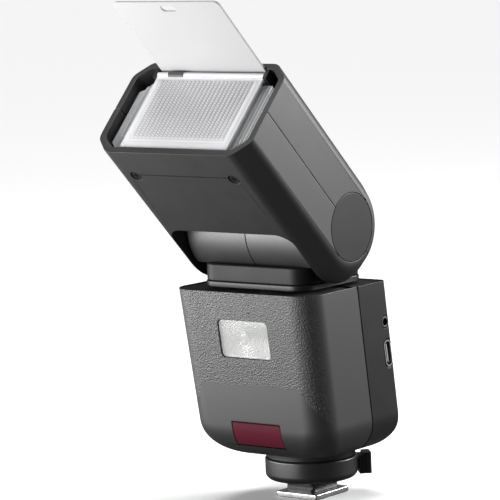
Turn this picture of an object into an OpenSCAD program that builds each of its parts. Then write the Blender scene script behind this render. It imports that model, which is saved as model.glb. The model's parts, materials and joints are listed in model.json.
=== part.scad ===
// Hot shoe speedlight flash: a body on a locking shoe foot, a swivelling neck and a tilting head
// that holds a zooming flash tube, a Fresnel lens, a flip-down wide panel and a pull-out bounce card.
// The flash faces -Y, the origin is the centre of the foot's underside, millimetres.

/* [Foot] */
// Width of the foot plate, ISO 518
foot_w = 18.6; // [18.4:0.05:18.65]
// Length of the foot plate
foot_l = 20.4; // [18:0.2:24]
// Thickness of the foot plate, ISO 518
foot_t = 2.0; // [1.9:0.05:2.05]
// Width of the stem between the shoe's rails
stem_w = 12.4; // [10:0.1:12.5]
// Length of the stem
stem_l = 16; // [14:0.5:18]
// Radius of the spring contacts
contact_r = 0.9; // [0.6:0.1:1]

/* [Lock ring] */
// Outer radius of the lock ring's housing
ring_r = 17; // [14:0.5:20]
// Height of the ring's underside
ring_z = 6.4; // [5:0.2:8]
// Height of the ring itself
ring_h = 8.2; // [7:0.2:11]
// How far the lever's tab stands out of the ring
tab_out = 4.8; // [3:0.2:8]
// Width of the lever's tab
tab_w = 7; // [5:0.5:9]
// Turn of the lever from open to locked
lever_turn = 80; // [40:5:90]
// Drop of the locking pin
pin_drop = 1.5; // [1:0.1:2]

/* [Body] */
// Width of the body at its top
body_w = 62.6; // [52:0.2:76]
// Height of the body's top
body_top = 79.8; // [78:0.2:96]
// Height of the body's underside
body_base = 17.5; // [16.8:0.1:18.5]
// Distance from the foot's axis to the front face, square to it
body_front = 39.6; // [38.6:0.2:48]
// Distance from the foot's axis to the rear face, square to it
body_rear = 8.0; // [8:0.2:12]
// Distance from the foot's axis to the seam, square to it
body_seam = 10.4; // [9:0.2:13]
// Backward lean of the body from its top to its base
lean = 8.8; // [5:0.2:10]
// Radius of the front upright edges
edge_r = 9.4; // [6:0.2:11]
// Radius of the rear upright edges
rear_edge_r = 3.5; // [3:0.2:5]
// Radius of the lower corners, seen from the front
corner_r = 13.5; // [8:0.5:15]
// Radius of the lower front edge
chin_r = 14; // [8:0.5:15]
// Radius of the lower rear edge
heel_r = 8; // [4:0.5:9]
// Wall of the body's shells
wall = 2.0; // [1.6:0.1:2.4]

/* [Body windows] */
// Width of the LED window
led_w = 21.8; // [16:0.2:26]
// Height of the LED window
led_h = 14.0; // [10:0.2:16]
// Distance from the body's top down to the LED window
led_drop = 4.4; // [4:0.2:6]
// Width of the red focus window
af_w = 21.6; // [16:0.2:26]
// Height of the focus window's lower edge
af_z = 22.6; // [21:0.2:24]
// Height of the focus window
af_h = 8.9; // [6:0.1:10]

/* [Controls] */
// Radius of the control dial
dial_r = 12; // [10:0.5:13]
// Radius of the set button inside the dial
set_r = 5.9; // [5:0.1:6.5]
// Width of the display window
display_w = 38; // [30:1:40]
// Height of the display window
display_h = 24; // [20:0.5:24]
// Travel of the buttons
press = 0.5; // [0.3:0.1:0.8]
// Travel of the power switch
switch_travel = 3; // [2:0.5:4]
// Radius of the sync socket's bore, for a 2.5 mm plug
sync_r = 1.3; // [1.3:0.05:1.8]

/* [Neck] */
// Width of the neck's collar
collar_w = 47.2; // [44:0.2:52]
// Depth of the neck's collar
collar_d = 38; // [34:0.5:42]
// Height of the collar
collar_h = 8.5; // [8:0.1:9]
// Corner radius of the collar
collar_r = 7; // [4:0.5:10]
// Distance of the swivel axis in front of the foot's axis
swivel_y = 13; // [12:0.5:15]
// Outer radius of the swivel tube
tube_r = 9; // [7:0.5:10]

/* [Head] */
// Width of the head
head_w = 67.7; // [62:0.2:82]
// Thickness of the head
head_t = 41.14; // [38:0.2:50]
// Length of the head from the tilt axis to the rim
head_l = 64.5; // [60:0.5:78]
// Chamfer along the head's edges
chamfer = 6.2; // [4:0.2:7]
// Wall of the head's shells
head_wall = 2.0; // [1.6:0.1:2.4]
// Distance of the head's seam below its middle
head_seam = 1; // [0.5:0.1:2]
// Upward tilt of the head as it rests
tilt = 45; // [0:1:90]
// Distance of the tilt axis in front of the foot's axis
hinge_y = 16; // [14:0.5:18]
// Gap between the level head and the body's top
head_gap = 1.43; // [1.2:0.1:3]
// Length of the gap in the head's underside, from the tilt axis
mouth_l = 20.5; // [19:0.5:26]
// Half width of the gap between the head's arms
arm_x = 27.1; // [24:0.1:28]
// Radius of the round side caps
cap_r = 12.2; // [10:0.2:13]
// Outer radius of the tilt hubs
hub_r = 7; // [6:0.5:8]

/* [Bounce card and wide panel] */
// Width of the bounce card
card_w = 46.4; // [40:0.2:47]
// Length of the bounce card
card_l = 44.2; // [38:0.2:44.2]
// How far the card slides
card_travel = 35; // [25:1:35]
// Thickness of the bounce card
card_t = 0.8; // [0.5:0.1:0.8]
// Width of the wide panel
panel_w = 47; // [40:0.5:47]
// Thickness of the wide panel
panel_t = 1.2; // [0.8:0.1:1.4]

/* [Zoom] */
// Travel of the zoom carriage
zoom_travel = 12; // [8:1:12]
// Half height of the reflector's mouth
mirror_h = 11.5; // [9:0.5:11.5]
// Depth of the reflector
mirror_d = 16; // [12:0.5:16]
// Radius of the flash tube
lamp_r = 1.75; // [1.5:0.05:2]
// Radius of the guide rods
rod_r = 1; // [0.8:0.1:1.2]

/* [Hidden] */
$fn = 64;
// Clearances: seams between shells, seated pieces, moving pieces, running fits
seam_gap = 0.16;
seat = 0.1;
gap = 0.3;
run = 0.05;
over = 1;
big = 200;
taper = 0.02;
// Foot
screw_x = 4.6;
screw_y = 6.2;
pin_r = 0.9;
pin_y = -6.2;
ring_top = ring_z + ring_h;
ring_core_r = 8.2;
ring_wall = 2.8;
ring_skin = 1.6;
ring_bevel = 1.6;
lever_angle = 44;
slot_half = asin((tab_w / 2 + 0.8) / (ring_r - ring_wall));
// Body, in the leaning frame whose origin is on the foot's axis at the body's top
half_w = body_w / 2;
lean_slope = tan(lean);
inner_front = -body_front + wall;
inner_rear = body_rear - wall;
jack_r = 2.1;
port_y = body_rear - wall - jack_r;
usb_w = 4.06;
usb_l = 9.74;
usb_wall = 0.4;
sync_z = -16;
usb_z = -27.7;
side_x = half_w + taper * sync_z;
screw_r = 1;
screw_head_r = 1.9;
screw_play = 0.1;
cell_r = 9.1;
cell_len = 35;
cell_x = 9.6;
cell_y = -11.6;
cell_top = -16;
board_y = -1.8;
board_t = 1.6;
panel_y = inner_rear - 2.2;
dial_z = -42;
display_drop = 4.2;
button_x = half_w - 10.8;
key_w = 9;
key_h = 5;
mode_z = -37;
test_z = -49;
key_x_low = button_x - 2;
top_screw = [half_w - 4.9, -5.6];
low_screw = [14.5, -58.2];
// Neck and tilt axis
hinge_z = body_top + head_gap + head_t / 2;
collar_top = body_top + collar_h;
collar_split = body_top + 2.3;
drum_r = head_t / 2 - 2.27;
drum_x = arm_x - 0.5;
drum_wall = 2;
disc_r = drum_r - 5.3;
disc_x = drum_x - drum_wall - 0.3;
disc_t = 1.4;
// Head, in its own frame: origin on the tilt axis, -y towards the rim, +z to the top
head_x = head_w / 2;
head_z = head_t / 2;
cavity_l = mouth_l + 2.2;
card_z = head_z - head_wall - 0.2 - card_t;
card_end = head_l + 35.2;
card_start = card_end - card_l;
pivot_z = card_z - 1.8;
pivot_l = head_l - 1.3;
barrel_r = 1.1;
pivot_r = 0.6;
lens_top = pivot_z - 2.2;
lens_low = -head_z + head_wall + 1.2;
lens_x = head_x - head_wall - 1.4;
lens_front = head_l - 3.5;
lens_t = 2.6;
frame_front = lens_front - lens_t;
frame_back = frame_front - 4.2;
gap_roof = 11.8;
tray_floor = lens_top + 0.6;
tray_x = card_w / 2 + 1.0;
rod_x = head_x - 5.8;
rod_z = -head_z + 7.2;
screw_axis_z = -head_z + head_wall + 3.2;
mirror_front = frame_back - 1;
mirror_back = mirror_front - mirror_d;
mirror_x = rod_x - 4;
lamp_l = mirror_back + 2.7;
nut_front = mirror_front - 5.2;
nut_back = nut_front - 5;
screw_x_head = head_x - 12.2;
motor_front = cavity_l + 8.3;

// ---------- shared outlines and frames ----------

// A rectangle of w by h with round corners, centred
module rounded(w, h, r) {
  square([w - 2 * r, h], center = true);
  square([w, h - 2 * r], center = true);
  for (sx = [-1, 1], sy = [-1, 1])
    translate([sx * (w / 2 - r), sy * (h / 2 - r)]) circle(r);
}

// A ring from radius a to radius b
module ring(a, b, h) {
  difference() {
    cylinder(r = b, h = h);
    translate([0, 0, -over]) cylinder(r = a, h = h + 2 * over);
  }
}

// The body's leaning frame
module leaning() {
  translate([0, 0, body_top]) rotate([lean, 0, 0]) children();
}

// Sketch plane that faces the rear: x stays, sketch y is up, extrusion starts at y = at and runs to +y
module from_rear(at) {
  translate([0, at, 0]) mirror([0, 1, 0]) rotate([90, 0, 0]) children();
}

// The head's frame
module heading() {
  translate([0, -hinge_y, hinge_z]) rotate([-tilt, 0, 0]) children();
}

// Cylinder along X from x = a to x = b
module bar_x(r, a, b) {
  translate([a, 0, 0]) rotate([0, 90, 0]) cylinder(r = r, h = b - a);
}

// Cylinder along the head from distance a to distance b
module bar_l(r, a, b) {
  translate([0, -a, 0]) rotate([90, 0, 0]) cylinder(r = r, h = b - a);
}

// Box from corner p to corner q
module block(p, q) {
  translate(p) cube(q - p);
}

// Box in the head's frame, between distances l0 and l1
module head_block(x0, x1, l0, l1, z0, z1) {
  block([x0, -l1, z0], [x1, -l0, z1]);
}

// ---------- body outlines ----------

function half_at(z) = half_w - taper * (body_top - z);

// The outline seen from the front, inset by i
module front_outline(i) {
  zc = body_base + corner_r;
  xc = half_at(zc) - corner_r;
  polygon([[-half_w + i, body_top - i], [-half_at(zc) + i, zc], [-xc, body_base + i],
    [xc, body_base + i], [half_at(zc) - i, zc], [half_w - i, body_top - i]]);
  for (s = [-1, 1]) translate([s * xc, zc]) circle(corner_r - i);
}

function front_y(z) = -body_front / cos(lean) + (body_top - z) * lean_slope;
function rear_y(z) = body_rear / cos(lean) + (body_top - z) * lean_slope;

// The outline seen from the side, inset by i: leaning faces, level top and base
module side_outline(i) {
  fz = body_base + chin_r;
  fy = front_y(fz) + chin_r / cos(lean);
  hz = body_base + heel_r;
  hy = rear_y(hz) - heel_r / cos(lean);
  fr = chin_r - i;
  hr = heel_r - i;
  polygon([[front_y(body_top - i) + i / cos(lean), body_top - i],
    [fy - fr * cos(lean), fz - fr * sin(lean)], [fy, fz - fr], [hy, hz - hr],
    [hy + hr * cos(lean), hz + hr * sin(lean)], [rear_y(body_top - i) - i / cos(lean), body_top - i]]);
  translate([fy, fz]) circle(fr);
  translate([hy, hz]) circle(hr);
}

// The outline seen from above, inset by i
module plan_outline(i) {
  w = body_w;
  fr = edge_r;
  rr = rear_edge_r;
  translate([-w / 2 + i, -body_front + fr]) square([w - 2 * i, body_front + body_rear - fr - rr]);
  translate([-w / 2 + fr, -body_front + i]) square([w - 2 * fr, fr]);
  translate([-w / 2 + rr, body_rear - rr - over]) square([w - 2 * rr, rr + over - i]);
  for (s = [-1, 1]) {
    translate([s * (w / 2 - fr), -body_front + fr]) circle(fr - i);
    translate([s * (w / 2 - rr), body_rear - rr]) circle(rr - i);
  }
}

// The whole body as one solid, inset by i
module body_solid(i) {
  intersection() {
    translate([0, big / 2, 0]) rotate([90, 0, 0]) linear_extrude(big) front_outline(i);
    translate([-big / 2, 0, 0]) rotate([90, 0, 90]) linear_extrude(big) side_outline(i);
    leaning() translate([0, 0, -big / 2]) linear_extrude(big) plan_outline(i);
  }
}

module body_skin() {
  difference() {
    body_solid(0);
    body_solid(wall);
  }
}

// Everything in front of the seam, or everything behind it
module before_seam(shift) {
  leaning() block([-big, -big, -big], [big, -body_seam - shift, big]);
}

module behind_seam(shift) {
  leaning() block([-big, -body_seam + shift, -big], [big, big, big]);
}

// Where the red focus window sits, larger by g all round
module af_place(g) {
  block([-af_w / 2 - g, -big, af_z - g], [af_w / 2 + g, -body_seam, af_z + af_h + g]);
}

module led_outline(g) {
  translate([0, -led_drop - led_h / 2]) rounded(led_w + 2 * g, led_h + 2 * g, 1.6);
}

// ---------- foot and lock ring ----------

// The four outer contacts and the middle one
module contact_places() {
  for (p = [[0, 0], [-3.4, 2.6], [3.4, 2.6], [-2.6, -3.4], [2.6, -3.4]])
    translate([p[0], p[1], 0]) children();
}

module foot_screw_places() {
  for (sx = [-1, 1], sy = [-1, 1]) translate([sx * screw_x, sy * screw_y, 0]) children();
}

module foot_plate() {
  color("gainsboro") difference() {
    linear_extrude(foot_t) rounded(foot_w, foot_l, 1);
    contact_places() translate([0, 0, -over]) cylinder(r = contact_r + seat, h = foot_t + 2 * over);
    foot_screw_places() translate([0, 0, -over]) cylinder(r = 1.5, h = over + 1.2);
    foot_screw_places() translate([0, 0, -over]) cylinder(r = 0.9, h = foot_t + 2 * over);
    translate([0, pin_y, -over]) cylinder(r = pin_r + run, h = foot_t + 2 * over);
  }
}

module foot_stem() {
  color([0.06, 0.06, 0.065]) difference() {
    translate([0, 0, foot_t]) linear_extrude(ring_z - foot_t) rounded(stem_w, stem_l, 1.5);
    contact_places() translate([0, 0, foot_t - over]) cylinder(r = contact_r + seat, h = 3);
    foot_screw_places() translate([0, 0, foot_t - over]) cylinder(r = 0.9, h = 4);
    translate([0, pin_y, 0]) cylinder(r = pin_r + run, h = ring_z + over);
  }
}

module foot_contacts() {
  color("goldenrod") contact_places() cylinder(r = contact_r, h = foot_t + 1.8);
}

module foot_screws() {
  color("silver") foot_screw_places() difference() {
    union() {
      cylinder(r = 1.4, h = 1.1);
      cylinder(r = 0.8, h = foot_t + 2.6);
    }
    block([-0.9, -0.15, -over], [0.9, 0.15, 0.5]);
    block([-0.15, -0.9, -over], [0.15, 0.9, 0.5]);
  }
}

// Wedge from angle a to angle b, reaching well past the ring
module wedge(a, b, h) {
  m = (a + b) / 2;
  s = 40;
  linear_extrude(h) polygon([[0, 0], [s * cos(a), s * sin(a)], [s * cos(m) * 1.4, s * sin(m) * 1.4],
    [s * cos(b), s * sin(b)]]);
}

module lock_ring_housing() {
  color([0.08, 0.08, 0.085]) difference() {
    translate([0, 0, ring_z]) rotate_extrude() polygon([[0, 0], [ring_r - ring_bevel, 0],
      [ring_r, ring_bevel], [ring_r, ring_h - 0.6], [ring_r - 0.6, ring_h], [0, ring_h]]);
    translate([0, 0, ring_z + ring_skin])
      ring(ring_core_r, ring_r - ring_wall, ring_h - 2 * ring_skin);
    translate([0, 0, ring_z + ring_skin]) intersection() {
      ring(ring_r - ring_wall - over, ring_r + over, ring_h - 2 * ring_skin);
      wedge(lever_angle - slot_half, lever_angle + lever_turn + slot_half, ring_h - 2 * ring_skin);
    }
    translate([0, pin_y, ring_z - over]) cylinder(r = pin_r + run, h = ring_h - 1.2);
  }
}

// A ring that turns inside the housing, with a tab that the finger pushes
module lock_lever() {
  z0 = ring_z + ring_skin + gap;
  h = ring_h - 2 * ring_skin - 2 * gap;
  color([0.09, 0.09, 0.095]) union() {
    translate([0, 0, z0]) ring(ring_core_r + gap, ring_r - ring_wall - gap, h);
    rotate([0, 0, lever_angle]) {
      block([ring_r - ring_wall - 1.5, -tab_w / 2 + 0.4, z0 + 0.4],
        [ring_r + tab_out - 1, tab_w / 2 - 0.4, z0 + h - 0.4]);
      block([ring_r + gap, -tab_w / 2, ring_z + 0.5], [ring_r + tab_out, tab_w / 2, ring_top + 0.2]);
    }
  }
}

module lock_pin() {
  color("silver") translate([0, pin_y, 0.1]) cylinder(r = pin_r, h = ring_top - 2.4);
}

module base_pad() {
  color([0.05, 0.05, 0.055]) translate([0, 0, ring_top]) cylinder(r = ring_r - 0.8, h = body_base - ring_top);
}

// ---------- body ----------

module front_shell() {
  color([0.1, 0.1, 0.105]) difference() {
    intersection() {
      body_skin();
      before_seam(seam_gap / 2);
    }
    leaning() from_rear(-body_front - over) linear_extrude(wall + 2 * over) led_outline(seat);
    af_place(seat);
    translate([0, -swivel_y, body_top - wall - over]) cylinder(r = tube_r + gap, h = wall + 2 * over);
  }
}

// Bosses that the shell screws pass through
module boss_places() {
  for (s = [-1, 1], p = [top_screw, low_screw]) translate([s * p[0], 0, p[1]]) children();
}

module rear_shell() {
  color([0.085, 0.085, 0.09]) difference() {
    union() {
      intersection() {
        body_skin();
        behind_seam(seam_gap / 2);
      }
      intersection() {
        leaning() boss_places() from_rear(-body_seam + 2) cylinder(r = 2.3, h = body_seam + inner_rear - 1.9);
        body_solid(wall / 2);
      }
    }
    translate([0, -swivel_y, body_top - wall - over]) cylinder(r = tube_r + gap, h = wall + 2 * over);
    leaning() {
      boss_places() from_rear(-body_seam) cylinder(r = screw_r + screw_play, h = big / 4);
      boss_places() from_rear(body_rear - 1.3) cylinder(r = screw_head_r + screw_play, h = 3);
      from_rear(inner_rear - over) linear_extrude(wall + 2 * over) display_outline(seat);
      translate([0, 0, dial_z]) from_rear(inner_rear - over) cylinder(r = dial_r + gap, h = wall + 2 * over);
      from_rear(inner_rear - over) linear_extrude(wall + 2 * over) key_outlines(0.15);
      from_rear(inner_rear - over) linear_extrude(wall + 2 * over) translate([-key_x_low, test_z])
        rounded(4.4, 5.4 + switch_travel, 1.2);
      translate([half_w - 4, port_y, sync_z]) bar_x(jack_r + seat, 0, 8);
      translate([half_w - 4, port_y, usb_z]) rotate([90, 0, 90]) linear_extrude(8)
        rounded(usb_w + 2 * seat, usb_l + 2 * seat, 2);
    }
  }
}

module led_window() {
  color([0.9, 0.92, 0.95, 0.5]) leaning() from_rear(-body_front + 0.2) linear_extrude(1.6) led_outline(0);
}

// A four-sided bowl around the LED
module led_reflector() {
  d = 7;
  y0 = -body_front + 1.8;
  color("silver") leaning() difference() {
    from_rear(y0) linear_extrude(d) led_outline(-0.4);
    from_rear(y0 - 0.01) linear_extrude(4) led_outline(-1.4);
    translate([0, 0, -led_drop - led_h / 2]) from_rear(y0 + 3)
      cylinder(r1 = led_h / 2 - 1.6, r2 = 2.2, h = d - 2.99);
  }
}

module led_board() {
  color("darkgreen") leaning() from_rear(-body_front + 8.8) linear_extrude(1.2) led_outline(0.4);
}

module af_window() {
  color([0.35, 0.05, 0.08, 0.8]) intersection() {
    body_skin();
    af_place(0);
  }
}

module af_board() {
  z = af_z + af_h / 2;
  color("darkgreen") translate([0, front_y(z) + 7.2, z]) block([-8, 0, -3.5], [8, 1.2, 3.5]);
}

module cell_places() {
  for (s = [-1, 1]) translate([s * cell_x, cell_y, cell_top - cell_len]) children();
}

module battery_cells() {
  color("steelblue") leaning() cell_places() cylinder(r = cell_r, h = cell_len);
}

// A tray below and above the cells, joined by side walls
module battery_cradle() {
  w = cell_x + cell_r + 1.8;
  d0 = cell_y - 6.5;
  d1 = cell_y + 6.5;
  color([0.12, 0.12, 0.12]) leaning() difference() {
    block([-w, d0, cell_top - cell_len - 1.5], [w, d1, cell_top + 1.2]);
    cell_places() cylinder(r = cell_r + seat, h = cell_len);
    block([-2, d0 - over, cell_top - cell_len + 5], [2, d1 + over, cell_top - 5]);
  }
}

module main_capacitor() {
  color([0.16, 0.16, 0.2]) leaning() translate([0, cell_y - cell_r - 8.4, -31.5]) bar_x(7.8, -18, 18);
}

module transformer() {
  color([0.65, 0.55, 0.2]) leaning() block([-8, -29.5, -55], [8, cell_y - cell_r - 0.6, -44]);
}

module main_board() {
  w = top_screw[0] - 3;
  color("darkgreen") leaning() block([-w, board_y, -54], [w, board_y + board_t, -12]);
}

// ---------- rear controls ----------

module display_outline(g) {
  translate([0, -display_drop - display_h / 2]) rounded(display_w + 2 * g, display_h + 2 * g, 2);
}

module key_outline(g) {
  rounded(key_w + 2 * g, key_h + 2 * g, 1.6);
}

module key_outlines(g) {
  for (s = [-1, 1]) translate([s * button_x, mode_z]) key_outline(g);
  translate([key_x_low, test_z]) key_outline(g);
}

// A button in the wall: cap outside, flange behind the wall
module key(at) {
  leaning() {
    from_rear(inner_rear - 0.9) linear_extrude(0.8) translate(at) key_outline(0.7);
    from_rear(inner_rear - 0.9) linear_extrude(wall + 1.7) translate(at) key_outline(-0.1);
  }
}

module control_board() {
  color("darkgreen") leaning()
    block([-button_x - 3.5, panel_y - 1.2, -55], [button_x + 3.5, panel_y, usb_z - 5.8]);
}

module display_panel() {
  color([0.1, 0.12, 0.14]) leaning() from_rear(inner_rear - 1.6) linear_extrude(1.5) display_outline(0.6);
}

module display_window() {
  color([0.04, 0.04, 0.05, 0.9]) leaning() from_rear(inner_rear - 0.1)
    linear_extrude(wall - 0.1) display_outline(0);
}

module at_dial(y) {
  leaning() translate([0, 0, dial_z]) from_rear(y) children();
}

module dial_encoder() {
  color([0.2, 0.2, 0.2]) union() {
    at_dial(panel_y) ring(set_r + 0.15, dial_r - 1, inner_rear - panel_y + 0.2);
    at_dial(panel_y) ring(set_r + 0.15, set_r + 0.7, inner_rear - panel_y + 2.2);
  }
}

module control_dial() {
  color([0.07, 0.07, 0.075]) difference() {
    at_dial(inner_rear + 0.5) ring(set_r + 0.7 + run, dial_r, 4);
    for (a = [0:10:350]) at_dial(inner_rear + 2.6)
      translate([dial_r * cos(a), dial_r * sin(a), 0]) cylinder(r = 0.5, h = 3, $fn = 16);
  }
}

module set_button() {
  color([0.1, 0.1, 0.105]) at_dial(inner_rear - 1.2) cylinder(r = set_r, h = 4.8);
}

module mode_button() {
  color([0.1, 0.1, 0.105]) key([-button_x, mode_z]);
}

module menu_button() {
  color([0.1, 0.1, 0.105]) key([button_x, mode_z]);
}

module test_button() {
  color([0.1, 0.1, 0.105]) key([key_x_low, test_z]);
}

module power_switch() {
  color([0.14, 0.14, 0.15]) leaning() translate([0, 0, -switch_travel / 2]) {
    from_rear(inner_rear - 0.9) linear_extrude(0.8) translate([-key_x_low, test_z]) rounded(6, 7, 1);
    from_rear(inner_rear - 0.9) linear_extrude(wall + 1.9) translate([-key_x_low, test_z]) rounded(4, 5, 1);
  }
}

// ---------- ports ----------

module sync_jack() {
  color([0.6, 0.6, 0.62]) leaning() translate([side_x, port_y, sync_z]) difference() {
    bar_x(jack_r, -11, -0.1);
    bar_x(sync_r, -10, over);
  }
}

// The USB shell's opening
module usb_mouth() {
  rounded(usb_w - 2 * usb_wall, usb_l - 2 * usb_wall, 2 - usb_wall);
}

module usb_port() {
  shell_l = 8.6;
  color([0.55, 0.55, 0.57]) leaning() translate([side_x - 9, port_y, usb_z]) rotate([90, 0, 90])
    difference() {
      linear_extrude(shell_l) rounded(usb_w, usb_l, 2);
      translate([0, 0, 1.5]) linear_extrude(shell_l) difference() {
        usb_mouth();
        square([0.7, 6.7], center = true);
      }
      translate([0, 0, shell_l - 0.6]) linear_extrude(shell_l) usb_mouth();
    }
}

module body_screws() {
  color("dimgray") leaning() boss_places() difference() {
    union() {
      from_rear(-body_seam + 3) cylinder(r = screw_r, h = body_seam + body_rear - 4.4);
      from_rear(body_rear - 1.25) cylinder(r = screw_head_r, h = 0.9);
    }
    from_rear(body_rear - 0.8) linear_extrude(2) square([2.2, 0.45], center = true);
    from_rear(body_rear - 0.8) linear_extrude(2) square([0.45, 2.2], center = true);
  }
}

// ---------- neck ----------

module at_swivel(z) {
  translate([0, -swivel_y, z]) children();
}

module swivel_bearing() {
  color("gray") at_swivel(body_top - wall - 3.2) ring(tube_r + run, tube_r + 4, 3.2);
}

module swivel_tube() {
  h = collar_split - body_top + wall + 4.6;
  color("silver") at_swivel(collar_split - h) difference() {
    union() {
      cylinder(r = tube_r, h = h + 0.1);
      translate([0, 0, h]) cylinder(r = tube_r + 3, h = 1.2);
    }
    translate([0, 0, -over]) cylinder(r = tube_r - 2.5, h = h + 4);
  }
}

module swivel_clip() {
  color("dimgray") at_swivel(body_top - wall - 4.5) ring(tube_r, tube_r + 2.5, 1);
}

module neck_base_plate() {
  color([0.05, 0.05, 0.055]) at_swivel(body_top + 0.15) difference() {
    linear_extrude(collar_split - body_top - 0.15) rounded(collar_w, collar_d, collar_r);
    translate([0, 0, -over]) cylinder(r = tube_r + run, h = 6);
  }
}

module neck_collar() {
  h = collar_top - collar_split;
  color([0.09, 0.09, 0.095]) at_swivel(collar_split) difference() {
    linear_extrude(h) rounded(collar_w - 0.6, collar_d - 0.6, collar_r - 0.3);
    translate([0, 0, -over]) linear_extrude(h + over - 1.8)
      rounded(collar_w - 5, collar_d - 5, collar_r - 2.5);
    translate([0, 0, -over]) cylinder(r = 6, h = h + 2 * over);
  }
}

// The drum's tube from x = a to x = b with its closed end at b
module drum_half(a, b) {
  difference() {
    bar_x(drum_r, a, b);
    bar_x(drum_r - drum_wall, a - over, b - drum_wall);
    bar_x(hub_r + run, a, b + over);
  }
}

module drum(side) {
  color([0.11, 0.11, 0.115]) difference() {
    translate([0, -hinge_y, hinge_z]) mirror([side < 0 ? 1 : 0, 0, 0]) drum_half(seam_gap / 2, drum_x);
    block([-big, -big, 0], [big, big, collar_top]);
  }
}

module drum_left() {
  drum(-1);
}

module drum_right() {
  drum(1);
}

// A leaf with a round nose that drops into the detent disc's notches
module detent_spring() {
  color("silver") translate([0, -hinge_y, hinge_z]) {
    block([disc_x - disc_t, -4, disc_r + 1.9], [disc_x, 4, disc_r + 2.3]);
    translate([0, 0, disc_r + 1.1]) bar_x(0.85, disc_x - disc_t, disc_x);
  }
}

module friction_washers() {
  color("tan") translate([0, -hinge_y, hinge_z]) for (s = [0, 1]) mirror([s, 0, 0])
    translate([drum_x + 0.1, 0, 0]) rotate([0, 90, 0]) ring(hub_r + 0.1, hub_r + 3.4, 0.3);
}

// ---------- head ----------

// Hollow hub from inside the drum to under the side cap, with a flange at its outer end
module hub(side) {
  color("silver") heading() mirror([side < 0 ? 1 : 0, 0, 0]) difference() {
    union() {
      bar_x(hub_r, disc_x - disc_t - 0.5, head_x - 1.6);
      bar_x(hub_r + 2, head_x - 2.8, head_x - 1.6);
    }
    bar_x(hub_r - 2.4, 0, big);
  }
}

module hinge_hub_left() {
  hub(-1);
}

module hinge_hub_right() {
  hub(1);
}

module detent_disc() {
  color("silver") heading() difference() {
    translate([disc_x - disc_t, 0, 0]) rotate([0, 90, 0]) ring(hub_r, disc_r, disc_t);
    for (a = [0:15:345]) rotate([a, 0, 0]) translate([0, 0, disc_r + 0.5]) bar_x(0.9, 0, big / 2);
  }
}

// The head's cross-section: a rectangle with cut corners, inset by i
module section(i) {
  c = chamfer - 0.6 * i;
  x = head_x - i;
  z = head_z - i;
  polygon([[-x + c, -z], [x - c, -z], [x, -z + c], [x, z - c],
    [x - c, z], [-x + c, z], [-x, z - c], [-x, -z + c]]);
}

module head_prism(i, l0, l1) {
  translate([0, -l0, 0]) rotate([90, 0, 0]) linear_extrude(l1 - l0) section(i);
}

// The round end about the tilt axis, with the same cut corners
module head_round() {
  c = chamfer;
  intersection() {
    rotate([0, 90, 0]) rotate_extrude() polygon([[0, -head_x], [head_z - c, -head_x],
      [head_z, -head_x + c], [head_z, head_x - c], [head_z - c, head_x], [0, head_x]]);
    block([-big, 0, -big], [big, big, big]);
  }
}

// The gap between the arms: round about the drum, open behind and below
module head_gap_space() {
  bar_x(drum_r + 0.4, -arm_x, arm_x);
  block([-arm_x, 1.5, -big], [arm_x, big, big]);
  block([-arm_x, -over, -big], [arm_x, 2 * over, -hub_r]);
  translate([0, -mouth_l / 2 + 3, -big - gap_roof]) linear_extrude(big)
    rounded(2 * arm_x, mouth_l + 6, 6);
}

module head_casing() {
  difference() {
    union() {
      head_prism(0, 0, head_l);
      head_round();
    }
    head_prism(head_wall, cavity_l, head_l + over);
    head_block(-card_w / 2 - 0.5, card_w / 2 + 0.5, card_start - card_travel - 1, cavity_l + over,
      card_z - 0.4, head_z - head_wall);
    head_gap_space();
    for (s = [0, 1]) mirror([s, 0, 0]) {
      bar_x(hub_r + 0.02, arm_x - over, head_x + over);
      bar_x(hub_r + 2.1, head_x - 2.8, head_x + over);
      bar_x(cap_r + seat, head_x - 1.5, head_x + over);
    }
  }
}

module head_upper_shell() {
  color([0.13, 0.13, 0.135]) heading() intersection() {
    head_casing();
    block([-big, -big, -head_seam + seam_gap / 2], [big, big, big]);
  }
}

module head_screw_places() {
  for (s = [-1, 1]) translate([s * screw_x_head, -frame_back + 3, -head_z]) children();
}

module head_lower_shell() {
  color([0.13, 0.13, 0.135]) heading() difference() {
    union() {
      intersection() {
        head_casing();
        block([-big, -big, -big], [big, big, -head_seam - seam_gap / 2]);
      }
      head_screw_places() translate([0, 0, head_wall / 2]) cylinder(r = 2.6, h = 4.4);
    }
    head_screw_places() translate([0, 0, -over]) cylinder(r = screw_head_r + 2 * screw_play, h = over + 1.2);
    head_screw_places() translate([0, 0, -over]) cylinder(r = screw_r + screw_play, h = 8);
  }
}

module head_screws() {
  color("dimgray") heading() head_screw_places() difference() {
    union() {
      translate([0, 0, 0.35]) cylinder(r = 1.95, h = 0.85);
      translate([0, 0, 0.4]) cylinder(r = 1, h = 6.4);
    }
    block([-1.1, -0.22, 0], [1.1, 0.22, 0.8]);
    block([-0.22, -1.1, 0], [0.22, 1.1, 0.8]);
  }
}

module side_cap(side) {
  color([0.12, 0.12, 0.125]) heading() mirror([side < 0 ? 1 : 0, 0, 0]) bar_x(cap_r, head_x - 1.45, head_x);
}

module hinge_cap_left() {
  side_cap(-1);
}

module hinge_cap_right() {
  side_cap(1);
}

// The lens's outline, smaller by g all round, drawn looking at the rim
module lens_outline(g) {
  x = lens_x - g;
  t = lens_top - g;
  b = lens_low + g;
  c = 4;
  polygon([[-x + c, b], [x - c, b], [x, b + c], [x, t - c],
    [x - c, t], [-x + c, t], [-x, t - c], [-x, b + c]]);
}

module fresnel_lens() {
  color([0.9, 0.92, 0.94, 0.5]) heading() translate([0, -frame_front, 0]) rotate([90, 0, 0])
    linear_extrude(lens_t) lens_outline(0);
}

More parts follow.
